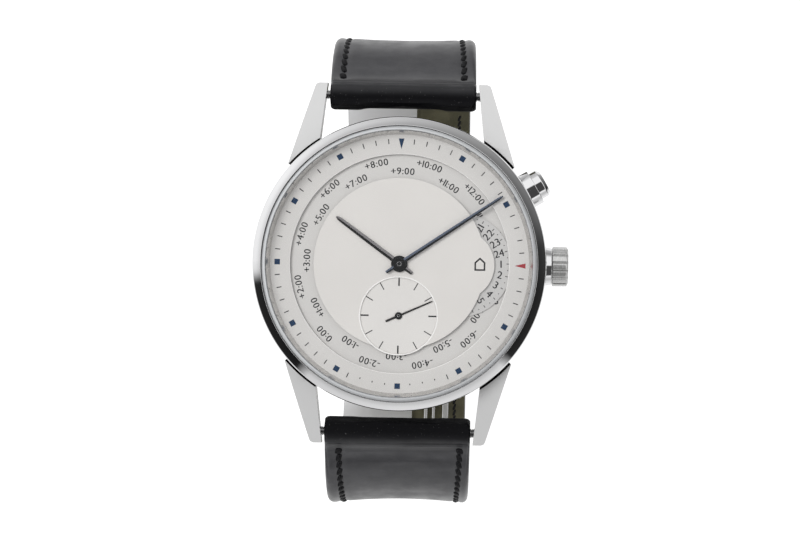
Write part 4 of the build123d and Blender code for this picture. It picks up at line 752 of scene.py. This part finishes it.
def bent_line(corners, bends):
    """A line through the corners with a round bend at each, as points with their distances and directions,
    closer together on the first part. A bend of radius r at a turn t starts r * tan(t / 2) before its corner."""
    corners = [np.asarray(c, float) for c in corners]
    line = [corners[0]]
    for before, corner, after, bend in zip(corners[:-2], corners[1:-1], corners[2:], bends):
        first, second = unit(corner - before), unit(after - corner)
        turn = math.acos(np.clip(first @ second, -1, 1))
        cut = bend * math.tan(turn / 2)
        middle = corner + unit(second - first) * bend / math.cos(turn / 2)
        start = corner - first * cut - middle
        sweep = np.linspace(0, turn, 40)[:, None]
        side = first * bend
        line += list(middle + start * np.cos(sweep) + side * np.sin(sweep))
    line.append(corners[-1])
    line = np.array(line)
    keep = np.concatenate([[True], np.linalg.norm(np.diff(line, axis=0), axis=1) > 1e-6])
    line = line[keep]
    length = np.concatenate([[0], np.cumsum(np.linalg.norm(np.diff(line, axis=0), axis=1))])
    step, first_part = 0.35, 4.0
    even = np.concatenate([np.arange(0, first_part, step / 4), np.arange(first_part, length[-1] - step / 2, step),
                           length[-1:]])
    points = np.stack([np.interp(even, length, line[:, k]) for k in (0, 1)], axis=1)
    return even, points, unit(np.gradient(points, even, axis=0))


clasp_end, tail_end = 36.0, 41.0
short_line = bent_line(
    [(bar_y, bar_z), shoulder(upper_reach), (upper_reach, loop_z - loop_bend * math.tan(math.radians(clasp_end) / 2)),
     on_loop(clasp_end, upper_reach)], [shoulder_bend, loop_bend])
rise = math.radians(90 - tail_end)
long_line = bent_line(
    [(bar_y, bar_z), shoulder(lower_reach), (lower_reach, half_strap),
     (loop_bend - upper_reach - loop_bend * math.tan(rise / 2), half_strap), on_loop(tail_end, upper_reach, -1)],
    [shoulder_bend, loop_bend, loop_bend])


def half_width(z):
    """The strap narrows evenly from the lugs down to the clasp."""
    return np.interp(z, (12.5, bar_z), (9.1, 10.0))


def section():
    """A rounded rectangle as four numbers per point: which face it is on, -1 to 1 across and up, and how
    much of the corner radius is added to either."""
    across = np.linspace(-1, 1, 44)
    turn = np.linspace(0, math.pi / 2, 6)

    def points(*numbers):
        return np.stack(np.broadcast_arrays(*numbers), axis=1)
    return np.concatenate([
        points(across, 1, 0, 1), points(1, 1, np.sin(turn), np.cos(turn))[1:],
        points(1, -1, np.cos(turn), -np.sin(turn)), points(across[::-1], -1, 0, -1)[1:],
        points(-1, -1, -np.sin(turn), -np.cos(turn))[1:], points(-1, 1, -np.cos(turn), np.sin(turn))[:-1]])


def askew(s, x, z, side):
    """How far a point moves along the watch: the lower half hangs a little askew between the lugs, and
    both folds swell a little towards the case, most of all at their ends."""
    end = ramp(np.abs(x), 4.6, 1.6)
    swell = middle_swell[side] + (end_swell - middle_swell[side]) * end * end * (3 - 2 * end)
    return skew[side] * x * ramp(s, 0, 1.5) * ramp(z, 20, 15) - side * swell * ramp(-s, 0, roll_radius) ** 2


def band(name, line, upper, lower, side, corner, face=None, width_less=0.0):
    """A band along a line: at each point the section lies across the line's heading, between the lower
    and upper distance from it. The face function adds relief to the outer face."""
    distance, points, heading = line
    face_x, face_z, edge_x, edge_z = section().T[:, None]
    edge = np.minimum(corner(distance), (upper - lower) * 0.499)[:, None]
    half = (half_width(points[:, 1]) - width_less - 0.45 * ramp(-distance, 1.1, 0.7) ** 2)[:, None]
    across = face_x * (half - edge) + edge_x * edge
    middle, thick = (upper + lower)[:, None] / 2, (upper - lower)[:, None] / 2
    up = middle + face_z * (thick - edge) + edge_z * edge
    if face:
        up = up + face(distance[:, None], across, half, side) * (face_z > 0)
    outward = np.stack([-heading[:, 1], heading[:, 0]], axis=1)
    flat = points[:, None] + outward[:, None] * up[..., None]
    moved = flat[..., 0] * side + askew(distance[:, None], across, flat[..., 1], side)
    rows = np.stack([across, moved, flat[..., 1]], axis=-1)
    ends = [np.repeat(rows[k:k + 1].mean(axis=1, keepdims=True), rows.shape[1], axis=1) for k in (0, -1)]
    return skin(name, np.concatenate([ends[0], rows, ends[1]]), sharp=50)


def with_roll(line):
    """The line started earlier, back round the bar, at distances below zero."""
    distance, points, heading = line
    back = -roll_radius * np.cos(np.linspace(0, math.pi / 2, 14))[:-1]
    return (np.concatenate([back, distance]), np.concatenate([points[0] + back[:, None] * heading[0], points]),
            np.concatenate([np.repeat(heading[:1], len(back), axis=0), heading]))


def leather_upper(s, side):
    """The outer face's height over the middle line: round over the bar, a crease where the fold is glued
    down, then the face, a little padded at first."""
    round_part = np.sqrt(np.clip(roll_radius ** 2 - s ** 2, 0.0, None))
    padded = half_strap + 0.12 * bell(s, 2.2, 0.9)
    crease = -0.13 * bell(s, crease_place[side], 0.26)
    return np.where(s < crease_place[side], np.maximum(round_part, half_strap), padded) + crease


def leather_lower(s, lining_start):
    """The inner face: round under the bar, then thinner where the lining begins."""
    round_part = -np.sqrt(np.clip(roll_radius ** 2 - np.minimum(s, 0) ** 2, 0.0, None))
    run_out = -half_strap - (roll_radius - half_strap) * (1 - ramp(s, 0, 5.0)) ** 2
    body = np.where(s < 0, round_part, run_out)
    lined = ramp(s, lining_start - 0.4, 0.4)
    return body * (1 - lined) + (0.62 - half_strap) * lined


def row_place(s, half, row, side):
    """How far a row of stitches lies to the right. The rows draw together a little down the strap."""
    return row * (half - stitch_inset - 0.03 * np.clip(s - 2, 0, 8)) + row_shift[side]


def leather_face(s, across, half, side):
    """Flat over the bar, hollow in the middle further down, with a furrow under each row of stitches."""
    hollow = -hollow_depth[side] * (1 - (across / half) ** 2) * ramp(s, 4.0, 6.0)
    furrow = -0.2 * sum(bell(across, row_place(s, half, row, side), 0.5) for row in (-1, 1)) * ramp(s, 1.7, 0.3)
    waves = 0.03 * np.sin(s * 1.9 + 2.2 * np.sin(across * 0.35)) * bell(s, 1.0, 2.2)
    return hollow + furrow + waves


def soft_corner(s):
    """The strap's edges are cut square at the fold and rounder further down."""
    return 0.45 + 0.53 * ramp(s, 2.0, 6.0)


def thin_corner(s):
    return 0.15 + 0 * s


def black_leather():
    """Smooth waxed leather with fine pores, soft creases and a satin sheen. Over the spring bars it is painted
    nearly black and matt, a painted shade for the shade and dark reflections by the case, with a little dust;
    a lighter line where the fold ends is a painted highlight."""
    leather = Finish("black_leather")
    pores = leather.cells("F1", 3200.0)
    creases = leather.noise(260.0, 5.0, 0.62, (1.0, 2.2, 2.2))
    wax = leather.noise(420.0)
    dust = leather.noise(5200.0, 1.0).between(0.72, 0.78)
    relief = leather.bump(pores * 0.35 + creases, 0.00003, 0.6)
    tone = leather.mixed((0.033, 0.033, 0.037), (0.048, 0.048, 0.053), creases.between(0.35, 0.7))
    _, y, z = leather.axes()
    out = abs(y) + y * 0.005 + leather.noise(220.0, 1.0, stretch=(1.0, 0.0, 0.0)) * 0.0003 - 0.00015
    by_the_bar = z.between(0.034, 0.039)
    # Painted highlight: a lighter grey line along the crease where the fold ends.
    line = out.between(0.0245, 0.0251) * out.between(0.0262, 0.0251) * by_the_bar
    waxed = leather.node("ShaderNodeBsdfPrincipled", None,
                         Base_Color=leather.mixed(tone, (0.16, 0.16, 0.16), line * 0.3),
                         Roughness=wax.between(0.3, 0.75, 0.36, 0.5), Coat_Weight=wax.between(0.3, 0.7, 0.6, 0.4),
                         Coat_Roughness=0.3, Specular_IOR_Level=0.62, Normal=relief)
    # Painted shade: near-black leather with little gloss, for the roll over the bar.
    matt = leather.node("ShaderNodeBsdfPrincipled", None,
                        Base_Color=leather.mixed((0.006, 0.006, 0.007), (0.12, 0.12, 0.12), dust * 0.8),
                        Roughness=wax.between(0.3, 0.75, 0.6, 0.75), Specular_IOR_Level=0.08, Normal=relief)
    # Painted shade: this mask turns the roll to the near-black leather, darkest next to the case.
    fold = (out.between(0.0228, 0.0249) * 0.5 + out.between(0.0244, 0.0252) * 0.5).math("MAXIMUM", 1 - by_the_bar)
    leather.node("ShaderNodeOutputMaterial", None,
                 leather.node("ShaderNodeMixShader", None, fold, matt, waxed))
    return leather.material


def olive_leather():
    """Matt lining leather with a dense fine grain."""
    lining = Finish("olive_lining")
    cells = lining.cells("DISTANCE_TO_EDGE", 2100.0)
    shade = lining.noise(300.0, 4.0)
    return lining.surface(Base_Color=lining.mixed((0.075, 0.07, 0.036), (0.13, 0.12, 0.07), shade.between(0.3, 0.7)),
                          Roughness=shade.between(0.3, 0.7, 0.6, 0.8),
                          Normal=lining.bump(cells + shade * 0.4, 0.00004, 0.7))


leather, lining = black_leather(), olive_leather()


def lining_starts(line):
    """Where the middle line has come down to the level at which the lining begins."""
    distance, points, _ = line
    return float(distance[np.argmax(points[:, 1] < 42.0)])


def strap_half(node, line, side):
    start = lining_starts(line)
    whole = with_roll(line)
    outer = band(node + "_leather", whole, leather_upper(whole[0], side), leather_lower(whole[0], start), side,
                 soft_corner, leather_face)
    stands_for(outer, leather, node)
    below = line[0] >= start
    inner_line = tuple(part[below] for part in line)
    s = inner_line[0]
    taper = np.clip((s - s[0]) / 0.5, 0.25, 1)
    inner = band(node + "_lining_made", inner_line, np.full_like(s, 0.64 - half_strap),
                 0.64 - half_strap - 0.66 * taper, side, thin_corner, width_less=0.12)
    stands_for(inner, lining, node + "_lining")


strap_half("strap_upper", short_line, 1.0)
strap_half("strap_lower", long_line, -1.0)


# Stitches
# Each is a short length of thick waxed thread that slants a little and dives into the next hole. The
# same thread shows on the lining side.

stitch_length = 1.08


def stitches(name, line, first, last, level, side, node, thick):
    """Capsules in two rows along a band: each a spindle whose radius is thick * (1 - u^4)^(1/2) along
    u = -1 to 1, turned a little across the heading and sunk at both ends. The first is a round knot.
    The level function gives the height of a row's middle over the middle line."""
    distance, points, heading = line
    at = np.arange(first, last, stitch_length)
    y, z = (np.interp(at, distance, points[:, k]) for k in (0, 1))
    hy, hz = (np.interp(at, distance, heading[:, k]) for k in (0, 1))
    u = np.linspace(-1, 1, 8)
    turn = np.linspace(0, 2 * math.pi, 8, endpoint=False)
    long = np.where(at == first, 0.9, 1.3) * stitch_length / 2
    girth = thick * np.where(at == first, 1.25, 1.0)[:, None] * np.sqrt(np.clip(1 - u ** 4, 0, 1))
    centre = level(at, half_width(z), side)
    inward = -np.sign(centre)
    grids = []
    for row in (-1, 1):
        x = row_place(at, half_width(z), row, side)
        spot = np.stack([x, y * side + askew(at, x, z, side), z], axis=1)
        ahead = np.stack([0 * x + 0.26 * row, hy * side, hz], axis=1)
        out = np.stack([0 * x, -hz * side, hy], axis=1)
        aside = np.stack([np.ones_like(x), 0 * x, 0 * x], axis=1)
        height = centre[:, None] + inward[:, None] * (0.04 + 0.08 * u ** 2)
        middle = (spot[:, None] + ahead[:, None] * (u * long[:, None])[..., None]
                  + out[:, None] * height[..., None])
        ring = (aside[:, None, None] * (np.cos(turn)[None, None, :, None]) * 1.05
                + out[:, None, None] * np.sin(turn)[None, None, :, None])
        grids.append(middle[:, :, None] + ring * girth[:, :, None, None])
    printed_on(skin(name, np.concatenate(grids), sharp=80), thread, node)


def on_leather(s, half, side):
    """Beside the lugs the thread stands proud of the leather; further down it is drawn into it."""
    return leather_upper(s, side) + leather_face(s, row_place(s, half, 1, side), half, side) \
        - 0.08 * ramp(s, 3, 4)


def on_lining(s, half, side):
    return -half_strap + 0 * s


def waxed_thread():
    """Black thread, laid of fine fibres, with a little wax on it."""
    thread = Finish("waxed_thread")
    fibres = thread.noise(1.0, 2.0, stretch=(9000.0, 2600.0, 2600.0))
    black, worn = (0.003, 0.003, 0.004), (0.014, 0.014, 0.016)
    return thread.surface(Base_Color=thread.mixed(black, worn, fibres.between(0.4, 0.7)), Specular_IOR_Level=0.25,
                          Roughness=fibres.between(0.3, 0.7, 0.4, 0.6), Normal=thread.bump(fibres, 0.00003, 0.8))


thread = waxed_thread()
rows = (("upper", short_line, 1.0, 2.2, 3.0), ("lower", long_line, -1.0, 2.3, 2.0))
for half, line, side, first, tail in rows:
    stitches(half + "_stitches", line, first, line[0][-1] - tail, on_leather, side, "strap_" + half, 0.4)
for half, line, side, first, tail in rows:
    stitches(half + "_lining_stitches", line, lining_starts(line) + 1.2, line[0][-1] - tail, on_lining, side,
             "strap_" + half, 0.2)


# Middle case and back
# The case and its four lugs are one forged and milled piece of steel, polished on the flank and brushed
# along the lugs. The back is a polished ring with six screws round a sapphire window.

def case_steel():
    """Polished flank, and lengthwise brushing on the lugs, which scatters the light like frosted glass. The
    groove between the lugs and the bezel is painted near-black, a painted shade.
    """
    steel = Finish("case_steel")
    facing, radius, from_middle = steel.axes(1)[2], steel.radius(), abs(steel.axes()[1])
    brushed = from_middle.between(0.0122, 0.0126) * radius.between(0.0203, 0.02035) * facing.between(0.03, 0.15)
    # Painted shade: near-black colour in the narrow groove where the lugs meet the bezel.
    shade = radius.between(0.02035, 0.02031) * from_middle.between(0.0118, 0.0122)
    lines = steel.noise(1.0, stretch=(9000.0, 260.0, 9000.0))
    colour = steel.mixed(steel.mixed((0.83, 0.83, 0.835), (0.69, 0.69, 0.69), brushed), (0.03, 0.03, 0.03), shade)
    return steel.surface(Base_Color=colour, Metallic=1.0 - brushed * 0.9,
                         Roughness=brushed * (0.22 + lines * 0.12) + 0.08,
                         Normal=steel.bump(lines * brushed, 0.000006, 0.5))


refined("mid_case", case_steel(), 0.06)


def spring_bar(y_side):
    """A bar between two lugs: a thick middle, a shoulder with two grooves at each end, and thin tips."""
    half = [(0.65, 0.0), (0.65, 10.08), (0.5, 10.13), (0.5, 10.18), (0.65, 10.23), (0.65, 10.3), (0.5, 10.35),
            (0.5, 10.4), (0.65, 10.45), (0.65, 10.6), (0.4, 10.65), (0.4, 11.2), (0.0, 11.25)]
    outline = [(radius, -along) for radius, along in half[::-1]] + half[1:]
    return turned_points(outline, (0, y_side * bar_y, bar_z), (1, 0, 0), 48)


# Painted shade: the bars get a dark steel colour, a painted shade for the shade between the strap and the lugs.
stands_for(skin("spring_bars", [spring_bar(1.0), spring_bar(-1.0)]), polished_steel("bar_steel", 0.4, 0.3),
           "case_spring_bars")


def turned_steel():
    """Steel with the fine rings that a lathe leaves."""
    steel = Finish("turned_steel")
    spot = steel.node("ShaderNodeCombineXYZ", None, steel.radius(), steel.axes()[2], 0.0)
    rings = steel.node("ShaderNodeTexNoise", None, Vector=spot, Scale=5200.0, Detail=4.0, Roughness=0.5)
    return steel.surface(Base_Color=steel.mixed((0.5, 0.5, 0.5), (0.78, 0.78, 0.78), rings.between(0.3, 0.7)),
                         Metallic=1.0, Roughness=rings.between(0.3, 0.7, 0.14, 0.24),
                         Normal=steel.bump(rings, 0.000003, 0.4))


refined("back_ring", turned_steel(), 0.08)
refined("back_screws", polished_steel("screw_steel", 0.32, 0.2), 0.04)
refined("back_gasket", one_colour("back_seal", (0.02, 0.02, 0.02), 5000.0, 0.5, 0.7), 0.0)
back_glass = Finish("back_sapphire")
smear = back_glass.noise(160.0)
refined("back_crystal", back_glass.surface(Base_Color=(0.93, 0.95, 0.97, 1.0), IOR=1.5, Alpha=0.06,
                                           Roughness=smear.between(0.3, 0.8, 0.015, 0.05)), 0.05)


# Crown, collar, pusher and corrector
# Turned from bright steel. The crown has fifteen wide rounded ribs and stands on a polished cone that is
# part of the case tube. The pusher's cap slides in a sleeve at 2 o'clock.

z_stem, crown_start, crown_long, crown_radius, ribs = 47.65, 20.75, 2.2, 2.85, 15


def crown_skin():
    """Rows run along the crown and columns round it. The radius is the outline's, less a groove of bell
    shape between two ribs, and the grooves fade out on the two rounded ends."""
    outline = eased([(0, 0.0), (2.5, 0.0), (crown_radius, 0.12), (crown_radius, crown_long - 0.35),
                     (2.35, crown_long), (0, crown_long)], 0.3, 8, closed=False)
    along = np.concatenate([outline[:11], np.linspace(outline[10], outline[-12], 8)[1:-1], outline[-12:]])
    turn = np.linspace(0, 2 * math.pi, ribs * 24, endpoint=False)
    phase = (turn * ribs / (2 * math.pi)) % 1.0
    groove = bell(phase, 0.25, 0.09)
    depth = 0.3 * ramp(along[:, 0], 2.1, 0.55)
    radius = along[:, :1] - depth[:, None] * groove[None]
    x = crown_start + along[:, 1:] + 0 * radius
    return np.stack([x, radius * np.cos(turn), z_stem + radius * np.sin(turn)], axis=-1)


def satin_steel():
    """Blasted steel with fine grains, half glossy and half matt."""
    steel = Finish("crown_steel")
    grain = steel.noise(14000.0, 2.0)
    return steel.surface(Base_Color=steel.mixed((0.6, 0.6, 0.595), (0.68, 0.68, 0.675), grain.between(0.35, 0.65)),
                         Metallic=0.7, Roughness=grain.between(0.3, 0.7, 0.2, 0.3),
                         Normal=steel.bump(grain, 0.000003, 0.4))


stands_for(skin("crown_made", crown_skin(), sharp=60), satin_steel(), "crown")
for node, bevel in (("crown_tube", 0.06), ("pusher_sleeve", 0.08), ("city_pusher", 0.08), ("home_corrector", 0.06),
                    ("crown_stem", 0.03)):
    refined(node, polish, bevel)


# Folding clasp
# Two spring steel leaves, bent to the curve of the wrist and hinged at 6 o'clock, with bevelled and
# polished edges and a finely brushed face. A steel loop holds the strap's tail.

def clasp_steel():
    """Fine lines along the leaf."""
    steel = Finish("clasp_steel")
    lines = steel.noise(1.0, stretch=(8000.0, 300.0, 300.0))
    return steel.surface(Base_Color=(0.94, 0.94, 0.95, 1.0), Metallic=0.65,
                         Roughness=lines.between(0.3, 0.7, 0.16, 0.26), Normal=steel.bump(lines, 0.0000006, 0.3))


leaf_steel = clasp_steel()
for node in ("clasp_blade", "clasp_leaf"):
    refined(node, leaf_steel, 0.16)
for node in ("clasp_hinge_pin", "clasp_loop", "clasp_stud", "clasp_bar"):
    refined(node, polish, 0.1)


# Movement
# Seen through the back: plated plates with a ribbed finish, gilt wheels, blued screws, ruby jewels and
# the rotor with its heavy rim.

def plated(name, colour, rib_width=0.0):
    """Plating over brass, with broad straight ribs where asked, their width in metres."""
    metal = Finish(name)
    fine = metal.noise(2600.0, 2.0)
    tone = fine.between(0.25, 0.75) * 0.3
    if rib_width:
        x, y, _ = metal.axes()
        wave = ((x * 0.82 + y * 0.57) * (2 * math.pi / rib_width)).math("SINE")
        tone = tone + wave.between(-0.9, 0.9) * 0.7
    deep = tuple(channel * (0.5 if rib_width else 0.8) for channel in colour)
    return metal.surface(Base_Color=metal.mixed(colour, deep, tone), Metallic=1.0,
                         Roughness=fine.between(0.3, 0.7, 0.22, 0.32), Normal=metal.bump(fine, 0.000002, 0.5))


ribbed = plated("ribbed_plate", (0.7, 0.69, 0.66), 0.0018)
plain_plate = plated("plain_plate", (0.34, 0.31, 0.26))
gilt = plated("gilt_wheels", (0.78, 0.6, 0.3))
wheel_steel = plated("wheel_steel", (0.6, 0.6, 0.62))
blued = plated("blued_screws", (0.05, 0.11, 0.42))
rotor_metal = plated("rotor_metal", (0.5, 0.49, 0.47), 0.0012)
jewel = Finish("ruby")
cloud = jewel.noise(900.0)
ruby = jewel.surface(Base_Color=(0.42, 0.01, 0.07, 1.0), Roughness=cloud.between(0.3, 0.7, 0.04, 0.1),
                     Coat_Weight=cloud.between(0.3, 0.7, 0.6, 0.8))
refined("three_quarter_plate", ribbed, 0.1, edge_finish=polish)
refined("balance_cock", ribbed, 0.1, edge_finish=polish)
refined("rotor", rotor_metal, 0.12, edge_finish=polish)
for finish, bevel, nodes in (
        (plain_plate, 0.05, ("mainplate", "movement_ring")),
        (gilt, 0.0, ("barrel", "centre_wheel", "third_wheel", "fourth_wheel", "balance_wheel", "minute_wheel",
                     "hour_wheel")),
        (wheel_steel, 0.0, ("escape_wheel", "pallet_fork", "ratchet_wheel", "crown_wheel", "rotor_bearing",
                            "cannon_pinion", "winding_pinion", "setting_lever", "pusher_spring")),
        (blued, 0.0, ("hairspring", "movement_screws", "rotor_screw")), (ruby, 0.03, ("jewels",))):
    for node in nodes:
        refined(node, finish, bevel)
